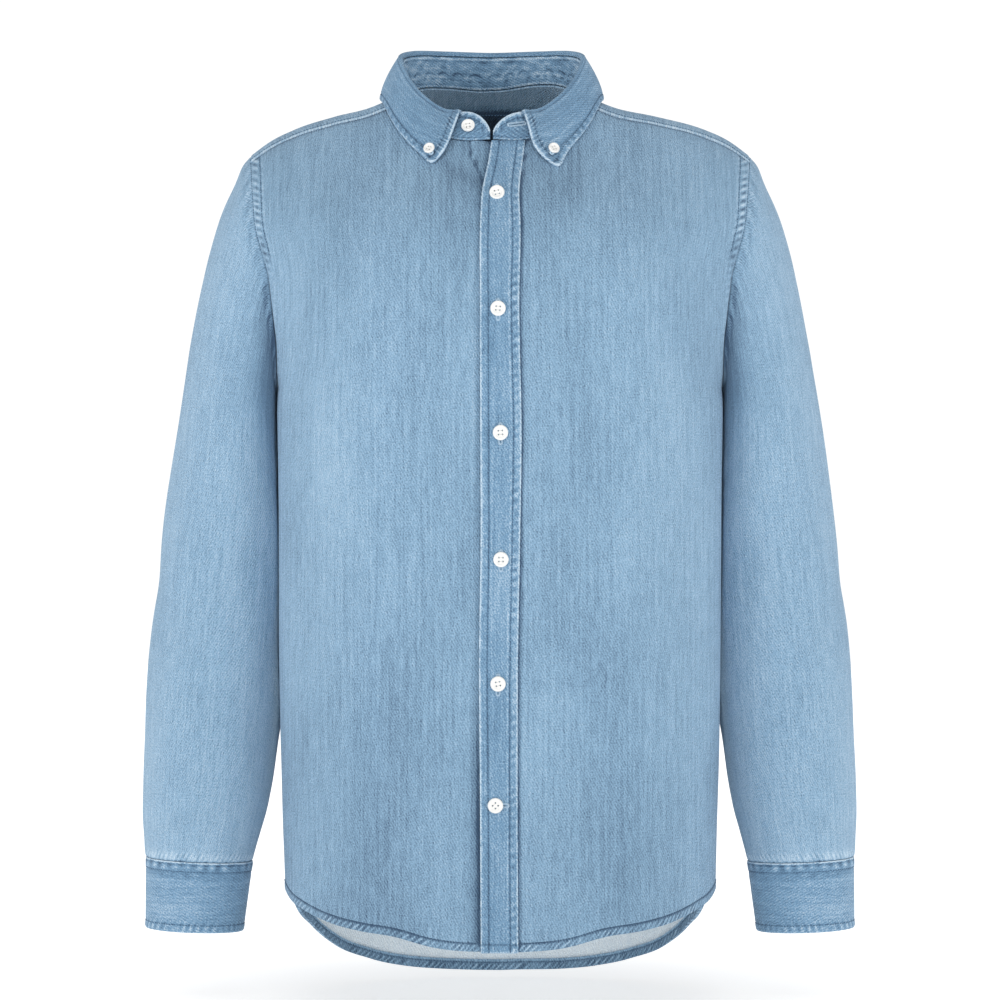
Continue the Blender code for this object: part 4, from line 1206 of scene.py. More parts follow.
        # Painted shade in the troughs of the soft folds down the skirt.
        fold_trough_shade = -0.16 * bump(away - fold, 0.0, 0.032) * ramp(-z, 0.34, 0.52)
        # Painted shade on the fronts below the collar.
        neck = -0.2 * bump(away, 0.03, 0.06) * ramp(z, -0.19, -0.04)
        # Painted shade on the sides low down, where the torso rounds away.
        side = -0.14 * ramp(away, 0.165, 0.188) * ramp(-z, 0.45, 0.62)
        cloth.wear += chest_light_and_overall_shade + fold_trough_shade + neck + side + 0.05 * cloud(x, z, 41, 0.03, 0.07)


@dataclass
class Back(Panel):
    """The back, from the hem to the yoke seam."""

    spacing: float = 0.003
    half_length: float = 0.235
    side_length: float = 0.46
    armhole_length: float = 0.165
    hem_lap: float = 0.003
    armhole_seam: Seam = replace(
        Fronts.armhole_seam, stitch=0.009, period=0.0068, blotch=0.62, blotch_period=0.0068, ridge_wear=0.4, seed=51,
    )

    def face(self, x: Array, z: Array) -> Cloth:
        """Returns bare cloth on the back, with its hollows.

        Args:
            x: Places across.
            z: Heights.

        Returns:
            The cloth.
        """
        form = self.form
        cloth = Cloth(form.torso_point(x, z, 1.0), np.zeros((*x.shape, 2)), form.middle)
        cloth.grain = np.stack([1.0 + warp_place(x), z], axis=-1)
        away = np.abs(x)
        soft = 0.0012 * cloud(x, z, 61, 0.05, 0.15) + 0.0005 * cloud(x, z, 67, 0.022, 0.06)
        drag = 0.0009 * np.sin((away * 0.5 + z * 0.9) / 0.018)
        drag = drag * bump(z, -0.21, 0.06) * bump(away, 0.155, 0.035)
        cloth.push((soft + drag) * ramp(away, 0.19, 0.17))
        cloth.wear += 0.1 * bump(away, 0.11, 0.06) * bump(z, -0.3, 0.16) - 0.1 * ramp(-z, 0.5, 0.72)
        cloth.wear += 0.06 * cloud(x, z, 71, 0.03, 0.08)
        return cloth

    def build(self) -> Cloth:
        """Makes the back's cloth, from the hem strip to the yoke seam.

        Returns:
            The cloth.
        """
        form = self.form
        half = np.sin(np.pi / 2 * stations(self.half_length, self.spacing, fine_end=True))
        shares = np.concatenate([-half[:0:-1], half])[None, :]
        low = stations(self.side_length, self.spacing)
        high = stations(self.armhole_length, self.spacing, fine_end=True)[1:]
        edge = form.panel_edge(mix(form.side_hem_height, form.underarm_height, low))
        x_low = edge[:, None] * shares
        z_low = mix(form.hem_height(x_low, 1) + self.hem_lap, form.underarm_height, low[:, None])
        edge_x, _, edge_z = form.armhole(mix(180.0, form.corner_turn(), high))
        x = np.concatenate([x_low, edge_x[:, None] * shares])
        z = np.concatenate([z_low, np.broadcast_to(edge_z[:, None], (len(high), shares.shape[1]))])
        cloth = self.face(x, z)
        cloth.points = form.drawn_in(cloth.points)
        across, (up, _) = cloth.across(), cloth.up()
        share = ramp(z, form.underarm_height - 0.01, form.underarm_height + 0.012)
        for from_side, start in zip(across, (0.3, 0.9)):
            self.armhole_seam.press(cloth, from_side, up + start, share=share)
            cloth.relief -= 0.0008 * bump(from_side, 0.0, 0.001) * (1 - share)
        cloth.relief += 0.0002 * np.sin(x / 0.0014 + 2 * wander(x, 63, 0.02)) * ramp(z, -0.115, -0.098)
        # Painted shadow along the top of the back, under the yoke's edge.
        cloth.wear -= 0.5 * bump(z, form.back_yoke_height, 0.0012)
        return cloth


@dataclass
class Yoke(Panel):
    """The yoke, from one front yoke seam round the back of the neck to the other."""

    thickness: ClassVar[float] = 0.002
    spacing: float = 0.003
    arm_steps: float = 5.0
    all_steps: float = 15.0
    proud: float = 0.0007
    lap: float = 0.001

    def places(self, wing: int, steps: Array, shares: Array) -> tuple[Array, Array]:
        """Lays out half of the yoke.

        Args:
            wing: 1 for the wearer's left half and -1 for the right.
            steps: The columns' stations, 0 at the front seam and the last at the back's centre.
            shares: The rows' shares of the way from the neck to the outer edge.

        Returns:
            Places across and leans, by row and column.
        """
        form = self.form
        turn = form.yoke_neck_angle * (1 - steps / self.all_steps)
        inner_x, _ = form.neck_place(wing * turn)
        inner_lean = form.neck_lean(wing * turn)
        station = mix(form.yoke_front_station, form.corner_turn(), np.clip(steps / self.arm_steps, 0, 1))
        arm_x, _, arm_z = form.armhole(station)
        back_share = np.clip((steps - self.arm_steps) / (self.all_steps - self.arm_steps), 0, 1)
        corner_x = form.armhole(np.array(form.corner_turn()))[0]
        on_arm = steps <= self.arm_steps
        outer_x = wing * np.where(on_arm, arm_x, corner_x * np.sin(np.pi / 2 * (1 - back_share)))
        outer_z = np.where(on_arm, arm_z, form.back_yoke_height)
        outer_lean = form.lean_at(outer_x, outer_z, np.where(on_arm & (station < 0), -1.0, 1.0))
        x = mix(inner_x[None, :], outer_x[None, :], shares[:, None])
        lean = mix(inner_lean[None, :], outer_lean[None, :], shares[:, None])
        first_x = mix(inner_x[0], outer_x[0], shares)
        neck_x, neck_z = form.neck_place(np.array(form.yoke_neck_angle))
        neck_drop = form.ridge_height(neck_x) - neck_z
        arm_drop = form.ridge_height(arm_x[0]) - arm_z[0]
        from_neck = (np.abs(first_x) - abs(neck_x)) / (arm_x[0] - abs(neck_x))
        drop = mix(neck_drop, arm_drop, np.clip(from_neck, 0, 1))
        seam_lean = form.lean_at(first_x, form.ridge_height(first_x) - drop, -1.0)
        first_lean = mix(inner_lean[0], outer_lean[0], shares)
        lean = lean + (seam_lean - first_lean)[:, None] * ramp(steps, 1.6, 0.0)[None, :]
        return x, lean

    def build(self) -> Cloth:
        """Makes the yoke's cloth.

        Returns:
            The cloth.
        """
        shares = np.sin(np.pi / 2 * stations(0.16, self.spacing, fine_end=True))
        steps = stations(0.3, self.spacing, fine_start=True) * self.all_steps
        left_x, left_lean = self.places(1, steps, shares)
        right_x, right_lean = self.places(-1, steps, shares)
        x = np.concatenate([left_x, right_x[:, -2::-1]], axis=1)
        lean = np.concatenate([left_lean, right_lean[:, -2::-1]], axis=1)
        points = self.form.shoulder_point(x, lean)
        for at, beside in ((0, 1), (-1, -2)):
            points[:, at] += unit(points[:, at] - points[:, beside]) * self.lap
        grain = np.stack([2.0 + points[..., 0], 3.0 + points[..., 1] - points[..., 2]], axis=-1)
        cloth = Cloth(points, grain, self.form.middle, pale_inside=0.0)
        (across, last), (up, from_outer) = cloth.across(), cloth.up()
        # Painted light and shade on the yoke's inner face: lighter all over, and much darker inside the back of the
        # neck.
        painted_neck_shadow = ramp(-points[..., 2], -0.008, 0.003) * bump(points[..., 0], self.form.neck_centre, 0.05)
        cloth.inner_wear_and_shade += 0.22 - 2.5 * painted_neck_shadow * (points[..., 1] > 0)
        on_back = ramp(points[..., 1], 0.062, 0.075)
        raised = self.proud * ramp(np.minimum(across, last), 0.012, 0.0035)
        cloth.push(np.maximum(raised, self.proud * on_back * ramp(from_outer, 0.012, 0.0035)))
        for from_edge, seed in ((across, 3), (last, 4)):
            edge = Seam(
                stitch=0.0036, puff=0.0001, groove=0.00022, pucker=0.0001, period=0.0085, slant=0.0,
                spread=0.01, blotch=0.0, edge_wear=1.15, edge_width=0.0021, seed=seed,
            )
            edge.press(cloth, from_edge, up)
            cloth.wear -= 0.2 * bump(from_edge, 0.013, 0.008) * (0.6 + 0.5 * wander(up, seed, 0.017))
        back_edge = Seam(
            stitch=0.0022, puff=0.0001, groove=0.0002, pucker=0.00012, period=0.008, slant=0.0, spread=0.01,
            blotch=0.0, edge_wear=0.9, edge_width=0.001, seed=6,
        )
        back_edge.press(cloth, from_outer, across, share=on_back)
        cloth.relief -= 0.0008 * bump(from_outer, 0.0, 0.001) * (1 - on_back)
        cloth.wear -= 0.55 * bump(from_outer, 0.0, 0.0008) * (1 - on_back)
        cloth.wear += 0.05 * cloud(x, points[..., 1], 83, 0.03, 0.03) + 0.04
        return cloth


@dataclass
class Placket(Panel):
    """The front strip with the buttonholes, from the hem to the neck seam."""

    thickness: ClassVar[float] = 0.002
    slot: ClassVar[str] = "trim_denim"
    proud: float = 0.0008
    spacing: float = 0.0016
    free_seam: Seam = Seam(
        stitch=0.0068, puff=0.0002, pucker=0.00012, period=0.0056, slant=0.4, blotch=0.12,
        blotch_period=0.013, shade=0.55, edge_wear=1.3, edge_width=0.001, seed=11,
    )
    sewn_seam: Seam = Seam(
        stitch=0.0066, puff=0.00028, pucker=0.00022, period=0.0072, slant=0.6, blotch=0.42,
        blotch_period=0.008, blotch_place=0.55, blotch_size=0.2, tone=0.06, shade=0.55, edge_wear=1.25,
        ridge_wear=0.5, seed=13,
    )

    def build(self) -> Cloth:
        """Makes the placket's cloth.

        Returns:
            The cloth.
        """
        form = self.form
        low, high = form.hem_height(np.array(0.0), -1), form.neck_place(np.array(180.0))[1]
        z = mix(low, high - 0.0012, stations(0.668, self.spacing, fine_start=True))[:, None]
        shares = stations(0.0335, 0.0013, fine_start=True, fine_end=True)
        free = form.placket.read("free_edge", z)
        sewn = form.placket.read("sewn_edge", z)
        x = mix(free, sewn - 0.0003, shares)
        z = np.broadcast_to(z, x.shape)
        points = form.raised_front(x, z, np.full(x.shape, self.proud))
        cloth = Cloth(points, np.stack([x + 0.5, z], axis=-1), form.middle, pale_inside=0.0)
        (across, from_sewn), (up, from_neck) = cloth.across(), cloth.up()
        self.free_seam.press(cloth, across, up)
        self.sewn_seam.press(cloth, from_sewn, up)
        hem = Seam(
            stitch=0.007, puff=0.0003, groove=0.0004, pucker=0.0003, period=0.0055, edge_wear=0.9, seed=17,
        )
        hem.press(cloth, up, across)
        neck = Seam(
            stitch=0.0016, puff=0.0, groove=0.0, shade=0.0, tone=-0.2, pucker=0.00034, period=0.0052,
            spread=0.007, blotch=0.0, edge_wear=-0.35, edge_width=0.002, seed=18,
        )
        neck.press(cloth, from_neck, across)
        cloth.wear += 0.05 * cloud(x, z, 19, 0.012, 0.03)
        return cloth


@dataclass
class Sleeves(Panel):
    """The two sleeves, from the armhole to the cuff, each with one seam under the arm."""

    clearance: float = 0.0012
    seam_gap: float = 0.0003
    rows: float = 0.0027
    columns: int = 148
    rings: Table = Table("place outer_x outer_height inner_x inner_height depth front_reach back_reach", (
        (0, 0.212, -0.043, 0.19, -0.24, 0.0, 0.054, 0.064),
        (1, 0.2245, -0.058, 0.1905, -0.246, 0.006, 0.059, 0.067),
        (2, 0.2375, -0.092, 0.188, -0.256, 0.015, 0.063, 0.069),
        (3, 0.2495, -0.13, 0.185, -0.272, 0.024, 0.067, 0.07),
        (4, 0.259, -0.17, 0.182, -0.296, 0.031, 0.07, 0.07),
        (5, 0.268, -0.219, 0.179, -0.327, 0.036, 0.071, 0.069),
        (6, 0.278, -0.278, 0.1745, -0.366, 0.039, 0.069, 0.067),
        (7, 0.2862, -0.335, 0.174, -0.405, 0.04, 0.066, 0.064),
        (8, 0.2925, -0.385, 0.176, -0.441, 0.038, 0.064, 0.061),
        (9, 0.2975, -0.429, 0.179, -0.476, 0.033, 0.06, 0.058),
        (10, 0.3008, -0.474, 0.1835, -0.512, 0.026, 0.056, 0.055),
        (11, 0.3025, -0.53, 0.19, -0.556, 0.016, 0.051, 0.05),
        (12, 0.3035, -0.578, 0.197, -0.592, 0.008, 0.046, 0.046),
        (13, 0.3035, -0.607, 0.203, -0.614, 0.003, 0.043, 0.043),
        (14, 0.302, -0.6275, 0.2075, -0.631, 0.001, 0.04, 0.04),
        (15, 0.3008, -0.6372, 0.21, -0.6412, 0.0, 0.038, 0.038),
    ))
    creases: tuple[Crease, ...] = tuple(map(Crease._make, (
        (0.5, -100.0, 0.1, 60.0, 0.022, 0.0022), (0.58, -20.0, -0.08, 70.0, 0.02, 0.002),
        (0.64, 95.0, 0.06, 70.0, 0.024, 0.003), (0.75, 120.0, -0.05, 60.0, 0.022, 0.0026),
        (0.84, -70.0, 0.05, 55.0, 0.018, 0.0016),
    )))

    def _drawn(self, down: Array, turn: Array) -> Array:
        """Returns how far the soft creases draw the sleeve in."""
        total = np.zeros(np.broadcast(down, turn).shape)
        for crease in self.creases:
            around = (turn - crease.turn + 180.0) % 360.0 - 180.0
            along = (down - crease.down - crease.slant * around / crease.length) / (crease.half_width * 2)
            total += crease.depth * np.exp(-(along**2) - (around / crease.length) ** 2)
        return total

    def _clear(self, x: Array, y: Array, z: Array) -> tuple[Array, Array]:
        """Moves places out where they would come nearer to the torso than the sleeve may."""
        form = self.form
        half = form.torso.read("half_width", z) + self.clearance
        depth = form.depth_at(z, np.where(y < 0, -1.0, 1.0)) + self.clearance
        filled = (np.abs(x) / half) ** form.fullness + (np.abs(y) / depth) ** form.fullness
        grow = np.where(z > form.underarm_height, 1.0, np.maximum(1.0, filled ** (-1 / form.fullness)))
        return x * grow, y * grow

    def point(self, down: Array, turn: Array) -> Array:
        """Returns the left sleeve's outer face, by how far down and by the turn from its outer side."""
        down, turn = np.broadcast_arrays(down, turn)
        angle, place = np.radians(turn), down * (len(self.rings.rows) - 1)
        ring = self.rings.read
        outward = (1 + np.cos(angle)) / 2
        inner_x, outer_x = ring("inner_x", place), ring("outer_x", place)
        x = mix(inner_x, outer_x, outward)
        z = mix(ring("inner_height", place), ring("outer_height", place), outward)
        reach = np.where(turn < 0, ring("front_reach", place), ring("back_reach", place))
        drawn = 1 - self._drawn(down, turn) / reach
        x = mix((inner_x + outer_x) / 2, x, drawn)
        y = ring("depth", place) + reach * np.sin(angle) * drawn
        x, y = self._clear(x, y, z)
        return np.stack([x, y, z], axis=-1)

    def build(self, wing: int) -> Cloth:
        """Makes a sleeve's cloth.

        Args:
            wing: 1 for the wearer's left sleeve and -1 for the right.

        Returns:
            The cloth.
        """
        down = stations(0.62, self.rows, fine_start=True, fine_end=True)[:, None]
        turn = (np.arange(self.columns) * 360.0 / self.columns - 180.0)[None, :]
        points = self.form.drawn_in(self.point(down, turn))
        middles = points.mean(axis=1, keepdims=True)
        round_it = np.radians(turn) * 0.062
        grain = np.stack([4.0 + round_it + 0 * down, points[..., 2]], axis=-1)
        cloth = Cloth(points, grain, middles, wraps=True)
        down, turn = np.broadcast_arrays(down, turn)
        arc = np.radians(turn) * 0.06
        run, left = cloth.up()
        away = np.abs(arc)
        soft = 0.0008 * cloud(away, run, 91 + wing, 0.03, 0.08) + 0.0003 * cloud(away, run, 95, 0.014, 0.03)
        cloth.push(soft * ramp(run, 0.01, 0.05) * ramp(left, 0.0, 0.04))
        gathered = np.sin(arc / 0.0025 + run / 0.0035 + 2 * wander(arc, 97, 0.012))
        cloth.relief += 0.0003 * gathered * bump(run, 0.0055, 0.0055) * uneven(0.5, arc, 98, 0.02)
        # Painted shade on the sleeve head beside the armhole seam.
        cloth.wear -= 0.1 * bump(run, 0.008, 0.006)
        over = bump(turn, -8.0, 62.0) * uneven(0.4, arc, 100, 0.011)
        cloth.gather(arc - 0.9 * run, 0.0023, 0.34 * over * bump(run, 0.0045, 0.0055))
        at_cuff = 0.42 * bump(left, 0.004, 0.0042) * uneven(0.45, arc, 107, 0.009)
        cloth.gather(arc + 0.7 * left, 0.0058, at_cuff)
        cloth.wear += 0.42 * bump(left, 0.003, 0.0036) * (0.6 + 0.5 * wander(arc, 101, 0.008))
        cloth.wear -= 0.55 * ramp(wander(arc, 105, 0.004), 0.1, 0.5) * bump(left, 0.0003, 0.001)
        cloth.relief -= 0.0005 * bump(left, 0.0, 0.0009)
        tucked = ramp(run, 0.0022, 0.0)
        cloth.push(-0.0005 * tucked)
        seam = np.minimum(np.abs(turn + 180.0), np.abs(turn - 180.0)) * np.radians(1) * 0.05
        cloth.relief -= 0.0006 * bump(seam, 0.0, 0.0013)
        cloth.wear += 0.2 * bump(seam, 0.003, 0.002)
        outer = bump(turn, -20.0, 45.0)
        cloth.wear += 0.14 * outer * ramp(down, 0.6, 0.8)
        cloth.wear += 0.1 * bump(down, 0.955, 0.02) * bump(turn, -75.0, 60.0)
        # Painted light: the sleeve's inner sides made lighter below the top fifth.
        beside = bump(turn, -140.0, 45.0) + bump(turn, 150.0, 45.0)
        cloth.wear += 0.15 * beside * ramp(down, 0.2, 0.4)
        # Painted shade on the inner front of the upper sleeve, where it tucks behind the torso.
        cloth.wear -= 1.05 * bump(turn, -134.0, 32.0) * bump(points[..., 2], -0.185, 0.062)
        cloth.wear += 0.05 * cloud(arc, run, 103, 0.025, 0.06)
        cloth.points = cloth.points + np.array([self.seam_gap, 0.0, 0.0]) * ramp(run, 0.0, 0.006)[..., None]
        return cloth.mirrored(wing)


@dataclass
class Cuffs(Panel):
    """The two cuffs: each a doubled strip that overlaps itself at the back, with rounded lower corners."""

    thickness: ClassVar[float] = 0.002
    slot: ClassVar[str] = "trim_denim"
    layer_gap: float = 0.0004
    seam_gap: float = 0.0003
    start_turn: float = 101.0
    end_turn: float = 483.0
    lift_turn: float = 425.0
    lifted_turn: float = 455.0
    corner: float = 0.012
    top: CuffEnd = CuffEnd(0.3008, -0.6377, 0.21, -0.6417, 0.0375)
    bottom: CuffEnd = CuffEnd(0.3012, -0.6972, 0.218, -0.7005, 0.0355)
    top_seam: Seam = Seam(
        stitch=0.0084, puff=0.0003, pucker=0.00022, period=0.013, slant=0.3, blotch=0.55,
        blotch_period=0.0105, blotch_place=0.42, edge_wear=1.7, edge_width=0.0008, edge_round=0.0002,
        seed=41,
    )
    bottom_seam: Seam = Seam(
        stitch=0.0066, puff=0.00028, pucker=0.00026, period=0.007, slant=0.4, blotch=0.34,
        blotch_period=0.0062, tone=0.08, edge_wear=0.6, seed=43,
    )
    end_seam: Seam = Seam(stitch=0.0064, puff=0.0002, groove=0.00034, period=0.0065, seed=45)

    def point(self, turn: Array, up: Array, out: float = 0.0) -> Array:
        """Returns points off the left cuff's outer face, by the turn and the share of the height."""
        turn, up = np.broadcast_arrays(turn, up)
        angle = np.radians(turn)
        outward = (1 + np.cos(angle)) / 2
        ends = []
        for end in (self.bottom, self.top):
            x = mix(end.inner_x, end.outer_x, outward)
            z = mix(end.inner_height, end.outer_height, outward)
            ends.append(np.stack([x, end.reach * np.sin(angle), z], axis=-1))
        half = (self.top.outer_x - self.top.inner_x) / 2
        normal = unit(np.stack([np.cos(angle) / half, np.sin(angle) / self.top.reach, 0 * angle], axis=-1))
        lift = ramp(turn, self.lift_turn, self.lifted_turn)
        lifted = (self.thickness + self.layer_gap + self.seam_gap) * lift
        return mix(ends[0], ends[1], up[..., None]) + normal * (lifted + out)[..., None]

    def build(self, wing: int) -> Cloth:
        """Makes a cuff's cloth.

        Args:
            wing: 1 for the wearer's left cuff and -1 for the right.

        Returns:
            The cloth.
        """
        arc = np.radians(self.end_turn - self.start_turn) * 0.0415
        shares = stations(arc, 0.0014, fine_start=True, fine_end=True)
        turn = mix(self.start_turn, self.end_turn, shares)[None, :]
        turn_length = np.radians(1) * (self.top.outer_x - self.top.inner_x) / 2
        height = self.top.outer_height - self.bottom.outer_height
        from_end = np.minimum(turn - self.start_turn, self.end_turn - turn) * turn_length
        short = 1 - np.minimum(from_end / self.corner, 1.0)
        lowest = self.corner * (1 - np.sqrt(1 - short**2)) / height
        rise = stations(height, 0.0022, fine_start=True, fine_end=True)[:, None]
        up = mix(lowest, 1.0, rise)
        points = self.point(turn, up)
        centre = np.array([(self.top.outer_x + self.top.inner_x) / 2, 0.0, self.top.outer_height])
        grain = np.stack([6.0 - points[..., 2], arc * shares[None, :] + 0 * rise], axis=-1)
        cloth = Cloth(points, grain, centre, pale_inside=0.0)
        (across, from_last), (rows, from_top) = cloth.across(), cloth.up()
        self.top_seam.press(cloth, from_top, across)
        cloth.wear -= 0.55 * bump(from_top, 0.0021, 0.0008)
        cloth.wear -= 0.3 * ramp(wander(across, 46, 0.006), 0.0, 0.6) * bump(from_top, 0.0112, 0.0018)
        self.bottom_seam.press(cloth, rows, across)
        self.end_seam.press(cloth, across, rows)
        self.end_seam.press(cloth, from_last, rows)
        self.bottom_seam.press(cloth, rows, across, inner=True)
        turned = np.broadcast_to(turn, up.shape)
        inner = bump((turned + 360) % 360, 190.0, 60.0)
        cloth.wear -= 0.3 * inner
        level = np.sin(points[..., 2] / 0.0021 + 2 * cloud(across, rows, 47, 0.03, 0.02))
        cloth.relief += 0.00007 * level * bump(rows, 0.042, 0.01)
        cloth.wear += 0.05 * cloud(across, rows, 49, 0.02, 0.015) + 0.05
        return cloth.mirrored(wing)


@dataclass
class CollarStand(Panel):
    """The collar band, from one rounded front end round the neck to the other."""

    thickness: ClassVar[float] = 0.002
    slot: ClassVar[str] = "trim_denim"
    inner_step: ClassVar[int] = 1
    seam_gap: float = 0.0003
    right_curve: float = 0.021
    left_curve: float = 0.027
    last_turn: float = 179.1
    edge_seam: Seam = Seam(
        stitch=0.006, puff=0.0002, pucker=0.00034, period=0.0052, slant=0.6, blotch=0.42,
        blotch_period=0.0068, tone=-0.1, edge_wear=1.25, edge_width=0.0014, seed=31,
    )
    neck_seam: Seam = Seam(
        stitch=0.002, puff=0.0001, pucker=0.0003, period=0.0048, slant=0.8, spread=0.007, blotch=0.0,
        edge_wear=0.9, edge_width=0.0011, seed=33,
    )

    def point(self, turn: Array, up: Array, out: float = 0.0) -> Array:
        """Returns points off the band's outer face, by the turn and the share of its height."""
        form = self.form
        turn, up = np.broadcast_arrays(np.asarray(turn, float), np.asarray(up, float))
        x = form.neck_centre + form.neck_half_width * np.sin(np.radians(turn))
        curve = np.where(turn < 0, self.right_curve, self.left_curve)
        from_end = np.where(np.abs(turn) > 90, np.abs(x - form.neck_centre), curve)
        tall = np.sqrt(1 - (1 - np.minimum(from_end / curve, 1.0)) ** 2)
        seam = form.neck_point(turn) + np.array([0.0, 0.0, 2 * self.seam_gap])
        return mix(seam, form.band_top(turn), (up * tall)[..., None]) + form.neck_outward(turn) * out

    def build(self) -> Cloth:
        """Makes the band's cloth.

        Returns:
            The cloth.
        """
        dense = np.concatenate([
            -self.last_turn + 18 * np.linspace(0, 1, 60) ** 2,
            np.linspace(-161, 161, 700)[1:-1],
            self.last_turn - 18 * np.linspace(1, 0, 60) ** 2,
        ])
        run = arc_lengths(self.point(dense, np.full(len(dense), 0.5)))
        places = stations(run[-1], 0.0012, fine_start=True, fine_end=True) * run[-1]
        turn = np.interp(places, run, dense)[None, :]
        up = stations(0.034, 0.0011, fine_start=True, fine_end=True)[:, None]
        points = self.point(turn, up)
        middle = np.array([self.form.neck_centre, 0.0, 0.0])
        across_arc = np.interp(turn, dense, run)
        grain = np.stack([8.0 + points[..., 2], across_arc + 0 * up], axis=-1)
        cloth = Cloth(points, grain, middle, pale_inside=0.0)
        (across, _), (rows, from_top) = cloth.across(), cloth.up()
        at_front = ramp(np.abs(turn), 148.0, 155.0) * np.ones_like(rows)
        from_rim = self._from_rim(points)
        for inner in (False, True):
            self.edge_seam.press(cloth, from_rim, across, inner=inner, share=at_front)
            if not inner:
                cloth.wear += 0.45 * bump(from_rim, 0.0012, 0.0018) * at_front
                cloth.wear -= 0.2 * ramp(from_rim, 0.002, 0.005) * at_front
                slanted = across * np.where(turn < 0, 1.0, -1.0) + 0.9 * rows
                rucked = 0.36 * ramp(from_rim, 0.003, 0.006) * uneven(0.5, rows + across, 40, 0.006)
                cloth.gather(slanted, 0.0052, rucked * at_front)
            self.neck_seam.press(cloth, rows, across, inner=inner)
        around_back = (np.abs(turn) < 130) * np.ones_like(rows)
        cell = across / 0.0138 + 0.3 * wander(across, 35, 0.031)
        beside_arch = 2 * np.abs(cell % 1.0 - 0.5)
        size = uneven(0.4, across, 36, 0.013)
        arch = bump(rows, 0.0128 - 0.005 * beside_arch**2, 0.0011) * ramp(beside_arch, 0.85, 0.55) * size
        dash = ramp(np.sin(2 * np.pi * (across / 0.0086 + 0.4 * wander(across, 34, 0.019))), -0.1, 0.5)
        dash = dash * bump(rows, 0.0066, 0.0011) * uneven(0.4, across, 33, 0.01)
        shine = bump(rows, 0.0094, 0.0016) * uneven(0.5, across, 32, 0.006)
        marked = 0.42 * shine - 0.85 * arch - 0.7 * dash - 0.25 * bump(rows, 0.004, 0.0009)
        cloth.inner_wear_and_shade += marked * around_back
        cloth.inner_relief -= 0.0003 * (arch + dash) * around_back
        ridges = np.sin((across * 0.7 + rows * 1.6) / 0.0021 + 3.2 * cloud(across, rows, 37, 0.015, 0.012))
        bent = 3.0 * cloud(across, rows, 38, 0.013, 0.01)
        ridges = ridges + 0.8 * np.sin((across * 0.9 - rows * 1.3) / 0.0026 + bent)
        cloth.inner_relief += 0.00013 * ridges * around_back * ramp(rows, 0.006, 0.012)
        cloth.inner_wear_and_shade += 0.34 * cloud(across, rows, 39, 0.0062, 0.0045) * around_back
        cloth.inner_wear_and_shade += 0.8 * bump(from_top, 0.0016, 0.0006) - 0.45 * bump(from_top, 0.0034, 0.0009)
        return cloth

    @staticmethod
    def _from_rim(points: Array) -> Array:
        """Returns each point's distance from the band's upper edge, round its front ends too."""
        rim = points[-1]
        found = np.empty(points.shape[:2])
        for row, line in enumerate(points):
            found[row] = np.sqrt(((line[:, None] - rim[None]) ** 2).sum(-1)).min(axis=1)
        return found


class Tip(NamedTuple):
    """How a collar point is drawn out: its column, one beside it, how much longer and where it is moved."""

    end: int
    beside: int
    longer: float
    aim: tuple[float, float, float]


